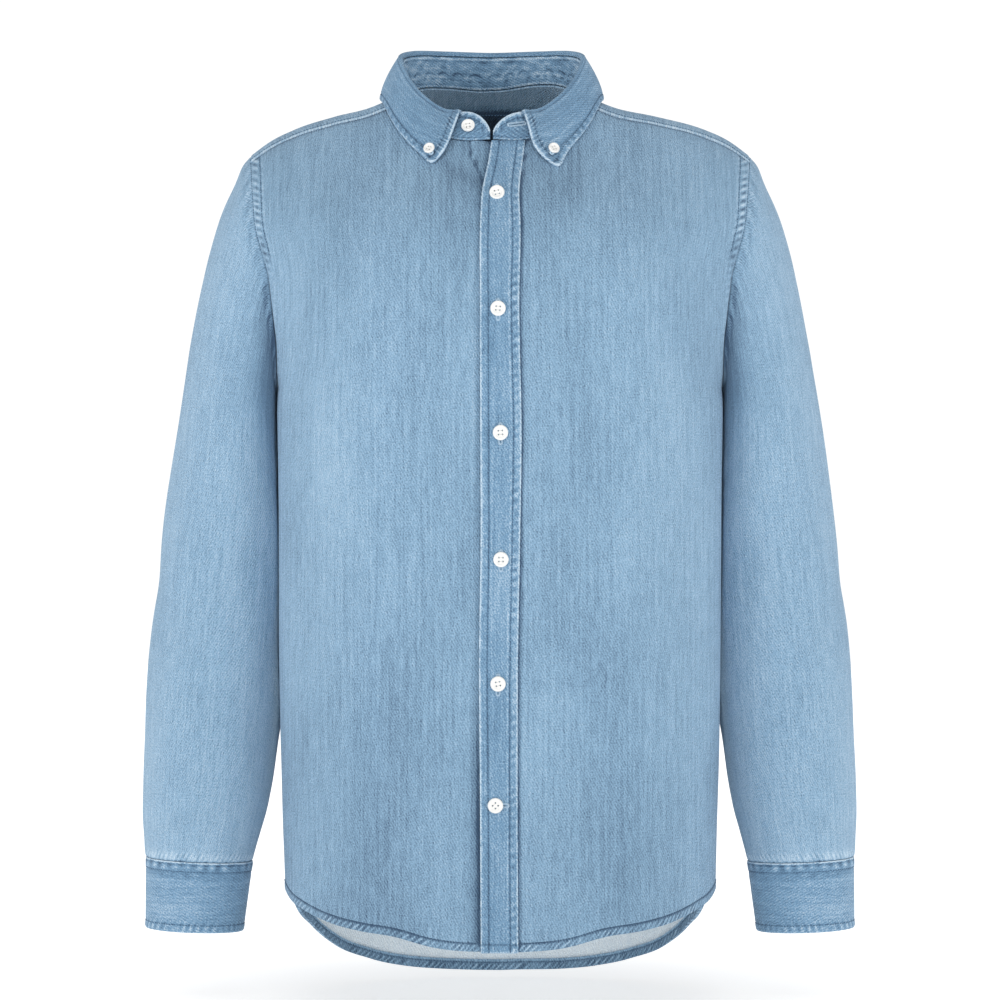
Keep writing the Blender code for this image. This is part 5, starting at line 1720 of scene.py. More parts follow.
@dataclass
class CollarLeaf(Panel):
    """The collar leaf, which folds over the band and falls to two points buttoned down on the fronts."""

    stand: CollarStand
    thickness: ClassVar[float] = 0.0018
    slot: ClassVar[str] = "trim_denim"
    lift: float = 0.0028
    end_angle: float = 160.5
    bulge: float = 0.0035
    sway: float = -0.0038
    bow: tuple[float, float] = (0.0038, 0.0063)
    sideways: ClassVar[Array] = np.array([1.0, 0.0, 0.0])
    tips: tuple[Tip, ...] = (
        Tip(0, 6, 0.0032, (0.0034, 0.0, -0.0002)), Tip(-1, -7, 0.0072, (-0.0017, -0.0011, -0.0014)),
    )
    tip_spread: float = 0.016
    tip_rounding: float = 0.0022
    roll_out: tuple[float, ...] = (-0.0019, -0.0018, -0.0004, 0.0019, 0.0032)
    roll_up: tuple[float, ...] = (0.001, 0.0028, 0.0049, 0.0048, 0.0024)
    edges: Table = Table("share across lean", (
        (0.0, 0.0, 35.0), (0.25, 0.045, 32.0), (0.45, 0.08, 17.0),
        (0.6, 0.094, 0.0), (0.75, 0.085, -30.0), (0.88, 0.069, -49.0),
        (1.0, 0.0515, -62.0),
    ))
    outer_seam: Seam = Seam(
        stitch=0.0056, puff=0.0003, pucker=0.00014, period=0.0062, slant=0.3, blotch=0.42, tone=-0.02,
        edge_wear=1.0, shade=0.42, seed=61,
    )
    front_seam: Seam = Seam(
        stitch=0.0058, puff=0.0003, pucker=0.00052, period=0.0041, slant=0.9, spread=0.006, blotch=0.3,
        blotch_period=0.0062, tone=-0.05, edge_wear=1.9, edge_width=0.001, seed=63,
    )

    def edge_point(self, place: Array) -> Array:
        """Returns the leaf's outer edge, by place from the back's centre (0) to a point (1 or -1)."""
        across = self.edges.read("across", np.abs(place))
        lean = self.edges.read("lean", np.abs(place))
        return self.form.raised_shoulder(self.form.neck_centre + np.sign(place) * across, lean, self.lift)

    def point(self, place: Array, roll: Array, fall: Array) -> Array:
        """Returns the leaf's outer face: over the fold, then down to the outer edge.

        Args:
            place: Columns, from one point (-1) round the back (0) to the other (1).
            roll: Shares of the fold.
            fall: Shares of the fall, the first just past the fold.

        Returns:
            The points, by row and column.
        """
        turn = place * self.end_angle
        out = self.form.neck_outward(turn)
        size = mix(1.0, 0.7, ramp(np.abs(place), 0.7, 1.0)) - 0.45 * ramp(np.abs(place), 0.9, 1.0)
        size = size[None, :, None]
        top = self.stand.point(turn, np.ones_like(turn))[None]
        keys = np.linspace(0, 1, len(self.roll_out))
        outs = smooth_curve(keys, self.roll_out, roll)[:, None, None]
        ups = smooth_curve(keys, self.roll_up, roll)[:, None, None]
        size = mix(1.0, size, ramp(roll, 0.0, 0.25)[:, None, None])
        rise = np.array([0.0, 0.0, 1.0])
        rolled = top + out[None] * outs + rise * ups * size
        edge = self.edge_point(place)[None]
        arch = (4 * fall * (1 - fall))[:, None, None]
        sway = (self.sway * np.sign(place) * np.abs(place) ** 8)[None, :, None] * arch * self.sideways
        fallen = mix(rolled[-1:], edge, fall[:, None, None]) + out[None] * (self.bulge * arch) + sway
        return np.concatenate([rolled, fallen])

    def build(self) -> Cloth:
        """Makes the leaf's cloth.

        Returns:
            The cloth.
        """
        dense = np.linspace(-1, 1, 900)
        run = arc_lengths(self.edge_point(dense))
        place = np.interp(stations(run[-1], 0.0016, fine_start=True, fine_end=True) * run[-1], run, dense)
        roll = np.linspace(0, 1, 10)
        fall = stations(0.06, 0.0018, fine_end=True)[1:]
        if (len(roll) + len(fall)) % 2 == 0:
            roll = np.linspace(0, 1, 11)
        points = self.point(place, roll, fall)
        middle = np.array([self.form.neck_centre, 0.0, -0.05])
        cloth = Cloth(points, np.zeros((*points.shape[:2], 2)), middle, pale_inside=0.0)
        (across, from_last), (rows, from_outer) = cloth.across(), cloth.up()
        cloth.grain = np.stack([10.0 + rows, np.interp(place, dense, run)[None, :] + 0 * rows], axis=-1)
        falls = np.concatenate([np.zeros(len(roll)), fall])[:, None]
        bowed = 9.48 * falls**3 * (1 - falls) * np.where(place < 0, *self.bow) * np.abs(place) ** 9
        cloth.points = cloth.points - (bowed * np.sign(place))[..., None] * self.sideways
        for end, beside, longer, aim in self.tips:
            corner = cloth.points[-1, end]
            onward = unit(corner - cloth.points[-9, end]) * longer + np.array(aim)
            near = bump(np.linalg.norm(cloth.points - corner, axis=-1), 0.0, self.tip_spread)
            cloth.points = cloth.points + onward * near[..., None]
            corner = cloth.points[-1, end]
            inward = unit(unit(cloth.points[-1, beside] - corner) + unit(cloth.points[-7, end] - corner))
            near = bump(np.linalg.norm(cloth.points - corner, axis=-1), 0.0, 0.003)
            cloth.points = cloth.points + inward * (self.tip_rounding * near)[..., None]
        on_fall = ramp(rows, 0.01, 0.014)
        self.outer_seam.press(cloth, from_outer, across)
        self.outer_seam.press(cloth, from_outer, across, inner=True)
        for from_end in (across, from_last):
            self.front_seam.press(cloth, from_end, rows)
            rucked = 0.55 * bump(from_end, 0.0062, 0.0036) * uneven(0.4, rows, 64, 0.008) * on_fall
            cloth.gather(rows + 1.1 * from_end, 0.0042, rucked)
            cloth.wear += 0.16 * bump(from_end, 0.0, 0.03) * on_fall * bump(from_outer, 0.012, 0.0012)
        cloth.wear += 0.2 * bump(from_outer, 0.012, 0.001) * uneven(0.4, across, 67, 0.006)
        cloth.relief -= 0.00018 * bump(rows, 0.0085, 0.0009)
        cloth.wear += 0.25 * bump(rows, 0.0102, 0.0007) - 0.45 * bump(rows, 0.0085, 0.0007)
        cloth.wear += 0.06 * cloud(across, rows, 69, 0.02, 0.015) - 0.1
        return cloth


@dataclass
class Buttons:
    """The white buttons: turned rims, a dished middle, four holes and a stitch of thread."""

    form: BodyForm
    stand: CollarStand
    leaf: CollarLeaf
    cuffs: Cuffs
    tailor: Tailor
    finish: Material
    thread: Material
    radius: float = 0.0063
    band_radius: float = 0.0057
    point_radius: float = 0.0048
    height: float = 0.0026
    seam_gap: float = 0.0003
    placket_proud: float = 0.0008
    hole_reach: float = 0.35
    hole_radius: float = 0.112
    cuff_turn: float = 472.0
    places: tuple[tuple[float, float, float, float], ...] = (
        (-0.0025, -0.0832, -0.0002, 14), (-0.0016, -0.1794, 0.0003, -5), (0.0004, -0.2802, 0.0003, 4),
        (0.0008, -0.3833, 0.0003, 0), (-0.0016, -0.4844, 0.0003, 9), (-0.0037, -0.5833, 0.0003, 45),
    )
    profile: tuple[tuple[float, float], ...] = (
        (0.0, 0.0), (0.84, 0.0), (0.95, 0.1), (1.0, 0.34), (0.985, 0.66), (0.93, 0.88), (0.85, 0.985),
        (0.76, 0.98), (0.68, 0.86), (0.61, 0.68), (0.52, 0.58), (0.3, 0.54), (0.0, 0.53),
    )

    def _blank(self, radius: float) -> Object:
        """Turns one button with its four holes.

        Args:
            radius: The button's radius.

        Returns:
            The button, lying flat at the origin.
        """
        high = self.height
        builder = bmesh.new()
        points = [builder.verts.new((across * radius, 0.0, up * high)) for across, up in self.profile]
        for first, second in zip(points, points[1:]):
            builder.edges.new((first, second))
        bmesh.ops.spin(builder, geom=builder.verts[:] + builder.edges[:], cent=(0, 0, 0), axis=(0, 0, 1),
                       angle=2 * math.pi, steps=48, use_merge=True)
        bmesh.ops.remove_doubles(builder, verts=builder.verts, dist=1e-6)
        bmesh.ops.recalc_face_normals(builder, faces=builder.faces)
        mesh = bpy.data.meshes.new("button_blank")
        builder.to_mesh(mesh)
        builder.free()
        blank = placed("button_blank", mesh)
        for turn in range(4):
            angle = math.pi / 4 + turn * math.pi / 2
            reach = radius * self.hole_reach
            bpy.ops.mesh.primitive_cylinder_add(
                vertices=14, radius=radius * self.hole_radius, depth=high * 3,
                location=(math.cos(angle) * reach, math.sin(angle) * reach, high * 0.5),
            )
            drill = bpy.context.active_object
            cut = blank.modifiers.new("hole", "BOOLEAN")
            cut.object = drill
            cut.solver = "EXACT"
            bpy.ops.object.select_all(action="DESELECT")
            blank.select_set(True)
            bpy.context.view_layer.objects.active = blank
            bpy.ops.object.modifier_apply(modifier=cut.name)
            bpy.data.objects.remove(drill)
        blank.data.shade_smooth()
        blank.data.set_sharp_from_angle(angle=math.radians(38))
        return blank

    def _thread(self, radius: float) -> Object:
        """Makes the two crossed pairs of thread that hold a button."""
        parts = []
        for side in (-1, 1):
            for strand in (-1, 1):
                bpy.ops.object.select_all(action="DESELECT")
                bpy.ops.mesh.primitive_uv_sphere_add(segments=8, ring_count=6, radius=1.0)
                piece = bpy.context.active_object
                piece.scale = (radius * 0.27, radius * 0.024, radius * 0.04)
                piece.location = (0.0, side * radius * 0.247 + strand * radius * 0.024, self.height * 0.55)
                parts.append(piece)
        bpy.ops.object.select_all(action="DESELECT")
        for piece in parts:
            piece.select_set(True)
        bpy.context.view_layer.objects.active = parts[0]
        bpy.ops.object.transform_apply(location=True, rotation=True, scale=True)
        bpy.ops.object.join()
        parts[0].data.shade_smooth()
        return parts[0]

    def _set(self, blank: Object, name: str, at: Array, normal: Array, turn: float,
             finish: Material) -> Object:
        """Copies a shape to its place.

        Args:
            blank: The shape, lying flat at the origin.
            name: The copy's name.
            at: Where its back's middle goes.
            normal: The direction it faces.
            turn: How far its holes are turned, in degrees.
            finish: Its material.

        Returns:
            The copy, with its place in its mesh.
        """
        mesh = blank.data.copy()
        mesh.name = name
        upright = Vector(normal).to_track_quat("Z", "Y").to_matrix().to_4x4()
        mesh.transform(Matrix.Translation(Vector(at)) @ upright @ Matrix.Rotation(math.radians(turn), 4, "Z"))
        return placed(name, mesh, finish)

    def stations(self) -> list[tuple[str, Array, Array, float, float]]:
        """Returns each button's name, place, direction, radius and turn."""
        one, found = np.array, []

        def front(x: float, z: float) -> Array:
            return self.form.raised_front(one(x), one(z), one(self.placket_proud))

        for number, (x, z, lift, turn) in enumerate(self.places, 1):
            point = front(x, z)
            normal = facing(point, front(x + 0.002, z), front(x, z + 0.002))
            normal = unit(normal + [0.0, -0.9, 0.0])
            found.append((f"placket_button_{number}", point + normal * lift, normal, self.radius, turn))
        turn, share = one(-165.5), one(0.475)
        band = self.stand.point
        point = band(turn, share)
        normal = facing(point, band(turn, share + 0.1), band(turn + 3.0, share))
        found.append(("band_button", point + normal * 2 * self.seam_gap, normal, self.band_radius, 12.0))
        for side, wing in (("right", -1), ("left", 1)):
            places = one([0.973 * 0.97, 0.973]) * wing
            grid = self.leaf.point(places, np.linspace(0, 1, 5), one([0.825, 0.845]))[5:]
            point = grid[1, 1]
            normal = frontward(facing(point, grid[1, 0], grid[0, 1]))
            at = point + normal * 2 * self.seam_gap
            found.append((f"point_button_{side}", at, normal, self.point_radius, 20.0 * wing))
        for side, wing in (("right", -1), ("left", 1)):
            point, ahead = (self.cuffs.point(one(self.cuff_turn), one(0.5), out) for out in (0.0, 1.0))
            normal, mirror = ahead - point, one([wing, 1.0, 1.0])
            at = point + normal * 3 * self.seam_gap
            found.append((f"cuff_button_{side}", at * mirror, normal * mirror, self.radius, 5.0))
        return found

    def make(self) -> None:
        """Builds every button with its thread."""
        sizes = (self.radius, self.band_radius, self.point_radius)
        blanks = {radius: (self._blank(radius), self._thread(radius)) for radius in sizes}
        for name, at, normal, radius, turn in self.stations():
            disc, strands = blanks[radius]
            piece = self._set(disc, f"{name}_disc", at, normal, turn, self.finish)
            self.tailor.dress(piece, "white_button", [name])
            thread = self._set(strands, f"{name}_thread", at, normal, turn, self.thread)
            self.tailor.dress(thread, "white_button")
        for pair in blanks.values():
            for blank in pair:
                bpy.data.objects.remove(blank)


@dataclass
class Hems:
    """The narrow hems: each a strip turned up twice and sewn, with the rope puckers that washing leaves."""

    form: BodyForm
    fronts: Fronts
    back: Back
    tailor: Tailor
    finish: Material
    height: float = 0.0094
    stitch: float = 0.0066
    lift: float = 0.00035
    thickness: float = 0.0029
    spacing: float = 0.0012

    def strip(self, side: int, wing: int) -> Cloth:
        """Makes the hem of one panel.

        Args:
            side: -1 for a front and 1 for the back.
            wing: 1 for the wearer's left and -1 for the right. The back takes both.

        Returns:
            The cloth.
        """
        form = self.form
        half = float(form.panel_edge(np.array(form.side_hem_height)))
        dense = np.linspace(0.0, 1.0, 600)
        if side > 0:
            places = half * np.sin(np.pi / 2 * (2 * dense - 1))
        else:
            edge_name = "sewn_edge" if wing > 0 else "under_edge"
            first = float(form.placket.read(edge_name, np.array(-0.7)))
            places = mix(first - (0.004 if wing > 0 else 0.0), wing * half, np.sin(np.pi / 2 * dense))
        run = arc_lengths(form.torso_point(places, form.hem_height(places, side), float(side)))
        count = int(run[-1] / self.spacing / 2) * 2
        x = np.interp(np.linspace(0, run[-1], count + 1), run, places)[None, :]
        rise = (self.height * np.linspace(0, 1, 9))[:, None]
        z = form.hem_height(x, side) + rise
        x = np.broadcast_to(x, z.shape)
        cloth = self.back.face(x, z) if side > 0 else self.fronts.face(x, z, wing)
        cloth.pale_inside = 0.0
        rise = np.broadcast_to(rise, z.shape)
        along, to_side = cloth.across()
        at_side = ramp(to_side if side < 0 else np.minimum(along, to_side), 0.0, 0.008)
        lifted = mix(self.lift * at_side, -0.0003, ramp(rise, self.stitch - 0.0002, self.height))
        lean = 1.0 if side < 0 else 0.25
        turn = (wing * along - lean * rise) / 0.0052 + 0.6 * wander(along, 201 + side, 0.012)
        stroke = np.exp(-(((turn % 1.0 - 0.5) / 0.16) ** 2)) - 0.28
        stroke = stroke * uneven(0.4, along, 203, 0.011) * ramp(to_side, -0.02, 0.07)
        reach = ramp(rise, -0.003, 0.0008) * ramp(rise, self.stitch - 0.0002, self.stitch - 0.002)
        roped = 0.00045 * stroke * reach - 0.0003 * bump(rise, self.stitch, 0.0009)
        cloth.relief += lifted + roped * at_side
        cloth.inner_relief += 0.0004 * stroke * reach - 0.0003 * bump(rise, self.stitch, 0.0008)
        smudge = ramp(wander(along, 209, 0.006), -0.1, 0.7)
        for wear, base in ((cloth.wear, -0.1), (cloth.inner_wear_and_shade, -0.4)):
            wear += (base + 0.95 * stroke) * reach - 0.45 * bump(rise, self.stitch, 0.0011)
            wear += 0.12 * wander(along, 211, 0.004) * reach
        at_corner = ramp(to_side, 0.06, 0.03)
        cloth.wear += 0.45 * bump(rise, self.stitch + 0.0014, 0.0007) * at_corner * (side < 0)
        cloth.wear -= self.lift * COLOUR_PER_METRE * ramp(rise, self.height, self.stitch - 0.0002)
        cloth.wear -= 0.3 * smudge * bump(rise, self.stitch + 0.0016, 0.0018)
        return cloth

    def make(self) -> dict[str, Cloth]:
        """Builds the three hems and returns their cloths by name."""
        cloths = {}
        for name, side, wing in (("front_right", -1, -1), ("front_left", -1, 1), ("back", 1, 1)):
            cloth = cloths[f"{name}_hem"] = self.strip(side, wing)
            piece = self.tailor.sew(f"{name}_hem", cloth, self.thickness, self.finish, inner_step=1)
            self.tailor.dress(piece, "body_denim")
        return cloths


@dataclass
class Stitching:
    """Rows of thread: one short stitch, copied along every seam line."""

    tailor: Tailor
    finish: Material
    pitch: float = 0.0025
    half_length: float = 0.00082
    radius: float = 0.00036
    raised: float = 0.35
    shape: Array = field(init=False)
    faces: list[tuple[int, ...]] = field(init=False)

    def __post_init__(self) -> None:
        """Makes the one stitch that every row repeats."""
        bpy.ops.object.select_all(action="DESELECT")
        bpy.ops.mesh.primitive_uv_sphere_add(segments=6, ring_count=4, radius=1.0, location=(0.0, 0.0, 0.0))
        stitch = bpy.context.active_object
        points = np.array([tuple(v.co) for v in stitch.data.vertices])
        self.shape = np.stack([points[:, 2], points[:, 0], points[:, 1]], axis=-1)
        self.faces = [tuple(face.vertices) for face in stitch.data.polygons]
        bpy.data.objects.remove(stitch)

    def lay(
        self,
        name: str,
        slot: str,
        row: Sequence[Array],
        size: tuple[float, float, float],
        finish: Material | None = None,
    ) -> None:
        """Copies the stitch to many places as one piece.

        Args:
            name: The piece's name.
            slot: The record's material slot.
            row: The stitches' middles, their directions and the cloth's directions outwards.
            size: Half a stitch's length, width and height.
            finish: The thread's material, or None for the usual one.
        """
        places, along, ups = row
        along = unit(along)
        side = unit(np.cross(ups, along))
        axes = np.stack([along * size[0], side * size[1], np.cross(along, side) * size[2]], axis=1)
        points = places[:, None, :] + np.einsum("vk,nkd->nvd", self.shape, axes)
        starts = range(0, len(places) * len(self.shape), len(self.shape))
        mesh = bpy.data.meshes.new(name)
        mesh.from_pydata(
            points.reshape(-1, 3).tolist(), [],
            [tuple(at + start for at in face) for start in starts for face in self.faces],
        )
        mesh.shade_smooth()
        self.tailor.dress(placed(name, mesh, finish or self.finish), slot)

    def row(self, line: SeamLine) -> tuple[Array, Array, Array]:
        """Returns the middles, directions and outward directions of stitches along a line."""
        run = arc_lengths(line.points)
        at = np.arange(line.start + self.pitch / 2, run[-1], self.pitch)
        place, ahead = (sampled(where, run, line.points) for where in (at, at + self.half_length))
        ups = unit(sampled(at, run, line.normals))
        return place + ups * self.radius * self.raised, ahead - place, ups

    def sew(self, name: str, slot: str, lines: Sequence[SeamLine], finish: Material | None = None) -> None:
        """Builds several rows as one piece.

        Args:
            name: The piece's name.
            slot: The record's material slot.
            lines: The lines that the rows follow.
            finish: The thread's material, or None for the usual one.
        """
        joined = [np.concatenate(parts) for parts in zip(*map(self.row, lines))]
        self.lay(name, slot, joined, (self.half_length, self.radius, self.radius), finish)


@dataclass
class Buttonholes:
    """Slits lapped with thread: upright on the placket, level at its foot, on the band and on the cuffs."""

    stand: CollarStand
    buttons: Buttons
    stitching: Stitching
    slit: Material
    thread: Material
    half_length: float = 0.0088
    small_half_length: float = 0.0062
    half_width: float = 0.0013
    laps: int = 46
    lap_size: tuple[float, float, float] = (0.00095, 0.00034, 0.00026)
    lap_lift: float = 0.00022
    slit_inset: float = 0.0028
    slit_size: tuple[float, float] = (0.0005, 0.00018)
    slit_lift: float = 0.00003

    def _loop(self, at: Array, along: Array, up: Array, half: float) -> tuple[Array, Array, Array]:
        """Returns the middles, directions and outward directions of one hole's laps."""
        straight = half - self.half_width
        half_way = 2 * straight + math.pi * self.half_width
        run = 2 * half_way * np.arange(self.laps) / self.laps
        sign = np.where(run < half_way, 1.0, -1.0)
        run = np.where(run < half_way, run, run - half_way)
        angle = math.pi / 2 - np.maximum(run - 2 * straight, 0.0) / self.half_width
        out = np.stack([np.cos(angle), np.sin(angle)], axis=-1) * sign[:, None]
        from_middle = (np.minimum(run, 2 * straight) - straight) * sign
        frame = np.stack([along, unit(np.cross(up, along))])
        places = at + from_middle[:, None] * along + self.half_width * out @ frame + up * self.lap_lift
        return places, out @ frame, np.broadcast_to(up, places.shape)

    def _places(self) -> list[tuple[str, Array, Array, Array, float]]:
        """Returns each hole's name, middle, direction, outward direction and half length."""
        upright, level = np.array([0.0, 0.0, 1.0]), np.array([1.0, 0.0, 0.0])
        found = []
        for button, at, normal, _, _ in self.buttons.stations():
            half, along = self.half_length, unit(np.cross(upright, normal))
            if button.startswith("point"):
                half, along = self.small_half_length, np.array([-0.45 * np.sign(at[0]), 0.0, -0.9])
                at = at - normal * 0.0002
            elif button.startswith("placket"):
                at = at + (level * 0.0022 if button.endswith("6") else upright * -0.001)
                along = level if button.endswith("6") else upright
            if not button.startswith("band"):
                found.append((button.replace("button", "hole"), at, along, normal, half))
        turn, share = np.array(164.2), np.array(0.56)
        point, beside = self.stand.point(turn, share), self.stand.point(turn - 1.5, share)
        normal = facing(point, beside, self.stand.point(turn, share + 0.05))
        return found + [("band_hole", point, beside - point, frontward(normal), self.half_length * 0.9)]

    def make(self) -> None:
        """Builds every hole: its laps and the dark slit between them."""
        lay = self.stitching.lay
        for name, at, along, normal, half in self._places():
            along = unit(along - normal * np.dot(along, normal))
            lay(f"{name}_laps", "trim_denim", self._loop(at, along, normal, half), self.lap_size, self.thread)
            middle = (at[None] + normal * self.slit_lift, along[None], normal[None])
            lay(f"{name}_slit", "trim_denim", middle, (half - self.slit_inset, *self.slit_size), self.slit)


@dataclass
class Studio:
    """The plain white floor with a painted shadow round its middle, the soft lights and the camera."""

    distance: float = 3.0
    eye_height: float = -0.335
    lens: float = 127.06
    floor_height: float = -0.757
    sky: float = 0.5
    painted_shadow_glow: float = 0.62

    def floor(self) -> None:
        """Lays the floor, which only holds up the room. It glows white, but dimmer within about half a metre of its
        middle: a painted shadow under the shirt.
        """
        bpy.ops.object.select_all(action="DESELECT")
        bpy.ops.mesh.primitive_plane_add(size=12.0, location=(0.0, 0.0, self.floor_height))
        floor = bpy.context.active_object
        floor.name = "floor"
        paper = PlainFinish("floor_paper", (0.5, 0.5, 0.5), 0.9).material()
        shading = Shading(paper.node_tree)
        place = shading.add("TexCoord", {}, "Object")
        away = shading.add("VectorMath", {0: place}, "Value", operation="LENGTH")
        # Painted shadow: the floor's glow falls from full white half a metre out to its lowest at the middle.
        spread = dict(enumerate((away, 0.1, 0.55, self.painted_shadow_glow, 1.0)))
        glow_with_painted_shadow = shading.add("MapRange", spread, "Result", interpolation_type="SMOOTHSTEP")
        shading.feed(paper.node_tree.nodes["Principled BSDF"], {
            "Emission Color": (1.0, 1.0, 1.0, 1.0), "Emission Strength": glow_with_painted_shadow,
        })
        floor.data.materials.append(paper)

    def light(self, name: str, place: tuple[float, float, float], size: float, power: float) -> None:
        """Hangs one soft light that faces the shirt.

        Args:
            name: The light's name.
            place: Where it hangs.
            size: How wide it is.
            power: Its power in watts.
        """
        data = bpy.data.lights.new(name, "AREA")
        data.shape = "SQUARE"
        data.size = size
        data.energy = power
        lamp = bpy.data.objects.new(name, data)
        lamp.location = place
        aim = Vector((0.0, 0.0, -0.35)) - Vector(place)
        lamp.rotation_euler = aim.to_track_quat("-Z", "Y").to_euler()
        bpy.context.collection.objects.link(lamp)

    def camera(self) -> None:
        """Sets the camera level, straight before the placket."""
        data = bpy.data.cameras.new("camera")
        data.lens = self.lens
        data.sensor_width = 36.0
        camera = bpy.data.objects.new("camera", data)
        camera.location = (0.0, -self.distance, self.eye_height)
        camera.rotation_euler = (math.radians(90), 0.0, 0.0)
        bpy.context.collection.objects.link(camera)
        bpy.context.scene.camera = camera

    def world(self) -> None:
        """Surrounds the shirt with white."""
        world = bpy.data.worlds.new("white_room")
        world.use_nodes = True
        shading = Shading(world.node_tree)
        seen = shading.add("LightPath", {}, "Is Camera Ray")
        strength = shading.math("MULTIPLY_ADD", seen, 1.05 - self.sky, self.sky)
        background = world.node_tree.nodes["Background"]
        shading.feed(background, {"Color": (1.0, 1.0, 1.0, 1.0), "Strength": strength})
        bpy.context.scene.world = world
        view = bpy.context.scene.view_settings
        view.view_transform = "Standard"
        view.look = "None"

    def build(self) -> None:
        """Sets up the whole room."""
        self.floor()
        self.light("overhead", (-0.3, -1.6, 1.6), 1.6, 12.0)
        self.light("left_side", (-2.3, -1.7, -0.1), 1.5, 19.0)
        self.light("right_side", (2.3, -1.6, 0.0), 1.5, 17.0)
        self.camera()
        self.world()


class Cut(NamedTuple):
    """How a panel is cut: its greatest width and length and its flat area, seams and hems left out."""

    width: float
    length: float
    area: float


class Sewn(NamedTuple):
    """Rows of stitches that are built as one piece: the panel they run on, their slot and their thread."""

    piece: str
    slot: str
    rows: tuple[Row, ...]
    pale: bool = False


def sewing_plan() -> dict[str, Sewn]:
    """Returns every group of rows by its name, in the order they are sewn."""
    armhole = tuple(Row(Edge.LAST_COLUMN, distance, above=-0.13) for distance in (0.0006, 0.0102))
    sides = (Edge.FIRST_COLUMN, Edge.LAST_COLUMN)
    yoke = (*(Row(edge, 0.004) for edge in sides), Row(Edge.LAST_ROW, 0.002, behind=0.068))
    cuff = (
        Row(Edge.LAST_ROW, 0.0082), Row(Edge.FIRST_ROW, 0.0064), Row(Edge.FIRST_ROW, 0.0064, under=0.002),
        *(Row(edge, 0.0064) for edge in sides),
    )
    placket = (Row(Edge.FIRST_COLUMN, 0.0068), Row(Edge.LAST_COLUMN, 0.0066), Row(Edge.FIRST_ROW, 0.007))
    stand = tuple(
        Row(edge, distance, under=0.002, behind=-0.04)
        for edge, distance in ((Edge.LAST_ROW, 0.0016), (Edge.FIRST_ROW, 0.0014))
    )
    leaf = (
        Row(Edge.LAST_ROW, 0.0056), Row(Edge.LAST_ROW, 0.0056, under=0.0018),
        *(Row(edge, 0.0058, start=0.012) for edge in sides),
    )
    hem = (Row(Edge.FIRST_ROW, 0.0066), Row(Edge.FIRST_ROW, 0.0066, under=0.0029))
    return {
        "front_right": Sewn("front_right", "body_denim", armhole),
        "front_left": Sewn("front_left", "body_denim", armhole),
        "back": Sewn("back", "body_denim", tuple(Row(edge, 0.0088, above=-0.24) for edge in sides)),
        "yoke": Sewn("yoke", "body_denim", yoke),
        "cuff_right": Sewn("cuff_right", "trim_denim", cuff),
        "cuff_left": Sewn("cuff_left", "trim_denim", cuff),
        "placket": Sewn("placket", "trim_denim", placket),
        "collar_stand": Sewn("collar_stand", "trim_denim", stand, pale=True),
        "collar_stand_end": Sewn("collar_stand", "trim_denim", (Row(Edge.LAST_ROW, 0.006, before=-0.055),)),
        "collar_leaf": Sewn("collar_leaf", "trim_denim", leaf),
        **{name: Sewn(name, "body_denim", hem) for name in ("front_right_hem", "front_left_hem", "back_hem")},
    }


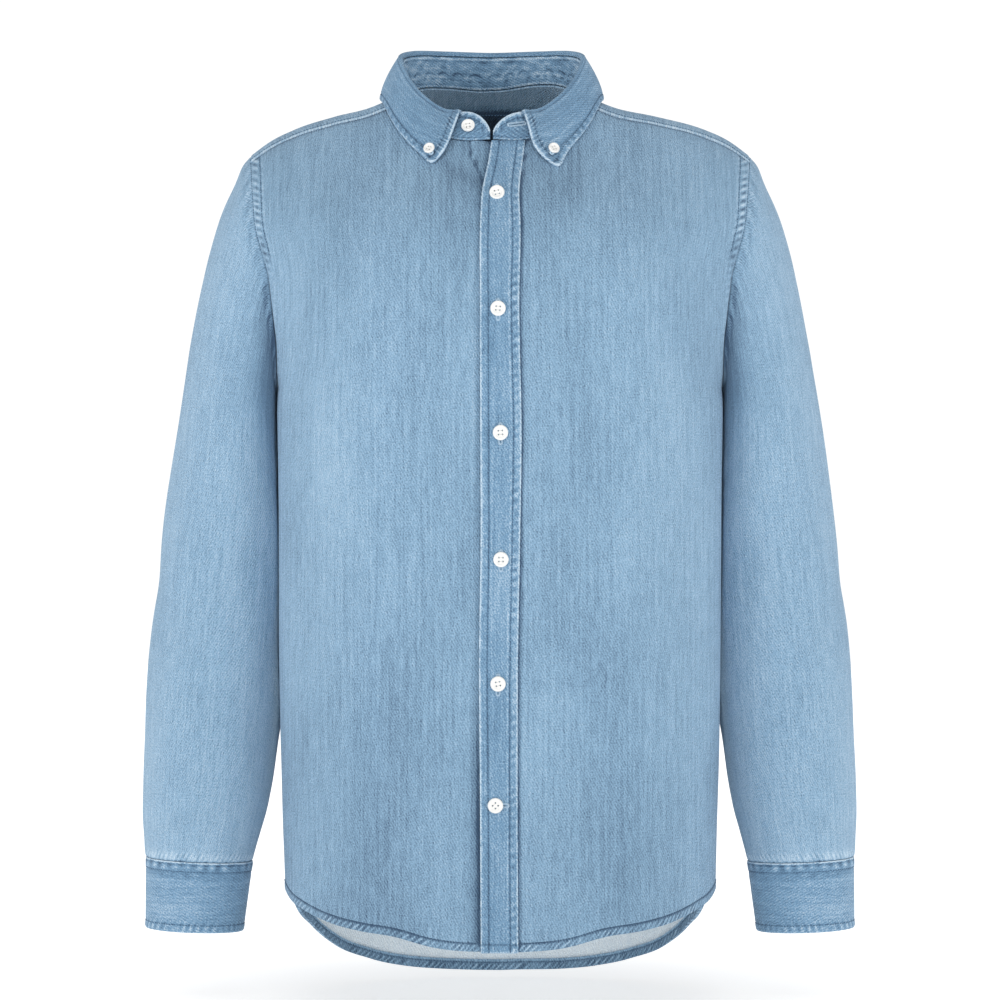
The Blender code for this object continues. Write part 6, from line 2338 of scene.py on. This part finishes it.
@dataclass
class Shirt:
    """The whole shirt: its cloth, its seams and its buttons."""

    form: BodyForm = field(default_factory=BodyForm)
    tailor: Tailor = field(default_factory=Tailor)
    sewing: dict[str, Sewn] = field(default_factory=sewing_plan)
    cuts: dict[str, Cut] = field(default_factory=lambda: {
        "front_right": Cut(0.278, 0.788, 0.173),
        "front_left": Cut(0.253, 0.759, 0.158),
        "back": Cut(0.538, 0.656, 0.3),
        "yoke": Cut(0.649, 0.192, 0.066),
        "sleeve_right": Cut(0.507, 0.617, 0.183),
        "sleeve_left": Cut(0.507, 0.617, 0.183),
        "cuff_right": Cut(0.282, 0.062, 0.016),
        "cuff_left": Cut(0.282, 0.062, 0.016),
        "placket": Cut(0.036, 0.685, 0.0216),
        "collar_stand": Cut(0.466, 0.031, 0.01),
        "collar_leaf": Cut(0.489, 0.073, 0.022),
    })

    def build(self) -> None:
        """Builds every piece."""
        weave = WeaveGroup().build()
        body = DenimFinish("body_cloth", (0.251, 0.413, 0.578)).dyed(weave)
        trim = DenimFinish("trim_cloth", (0.17, 0.318, 0.483)).dyed(weave)
        white, thread, seam_thread, pale_thread, slit = (
            PlainFinish(*look).material()
            for look in (
                ("white_resin", (0.86, 0.86, 0.84), 0.3),
                ("button_thread", (0.8, 0.8, 0.79), 0.8),
                ("seam_thread", (0.055, 0.12, 0.205), 0.8),
                ("pale_thread", (0.47, 0.63, 0.77), 0.8),
                ("slit_shade", (0.085, 0.16, 0.25), 0.95),
            )
        )
        fronts = Fronts(self.form, self.tailor, body)
        back = Back(self.form, self.tailor, body)
        yoke = Yoke(self.form, self.tailor, body)
        sleeves = Sleeves(self.form, self.tailor, body)
        cuffs = Cuffs(self.form, self.tailor, trim)
        placket = Placket(self.form, self.tailor, trim)
        stand = CollarStand(self.form, self.tailor, trim)
        leaf = CollarLeaf(self.form, self.tailor, trim, stand)
        made = [
            fronts.make("front_right", -1), fronts.make("front_left", 1),
            back.make("back"), yoke.make("yoke"),
            sleeves.make("sleeve_right", -1), sleeves.make("sleeve_left", 1),
            cuffs.make("cuff_right", -1), cuffs.make("cuff_left", 1),
            placket.make("placket"), stand.make("collar_stand"), leaf.make("collar_leaf"),
        ]
        buttons = Buttons(self.form, stand, leaf, cuffs, self.tailor, white, thread)
        buttons.make()
        cloths = {piece.name.removesuffix("_cloth"): cloth for piece, cloth in made}
        cloths.update(Hems(self.form, fronts, back, self.tailor, body).make())
        stitching = Stitching(self.tailor, seam_thread)
        for name, sewn in self.sewing.items():
            lines = [SeamLine.beside(cloths[sewn.piece], row) for row in sewn.rows]
            stitching.sew(f"{name}_stitches", sewn.slot, lines, pale_thread if sewn.pale else None)
        Buttonholes(stand, buttons, stitching, slit, pale_thread).make()
        stitching.sew("front_right_edge_stitches", "body_denim", [fronts.own_line(made[0][1])])
        for piece, cloth in made:
            self._declare(piece, cloth)

    def _declare(self, piece: Object, cloth: Cloth) -> None:
        """Logs a panel's cut area beside the area of its cloth; the hem and stitch pieces that lie on it are looked
        up but not used.

        Args:
            piece: The panel.
            cloth: Its cloth, whose size is logged beside the cut.
        """
        name = piece.name.removesuffix("_cloth")
        cut = self.cuts[name]
        endings = ("hem", "stitches", "hem_stitches", "edge_stitches", "end_stitches")
        lying = (bpy.data.objects.get(f"{name}_{ending}") for ending in endings)
        going = [other for other in lying if other]
        LOG.info("%s: cut %.4f m2, modelled %.4f m2", piece.name, cut.area, cloth.area())



def main() -> None:
    """Dresses the shirt and lights it."""
    logging.basicConfig(level=logging.INFO, format="%(message)s")
    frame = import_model()
    Shirt().build()
    Studio().build()


if __name__ == "__main__":
    main()
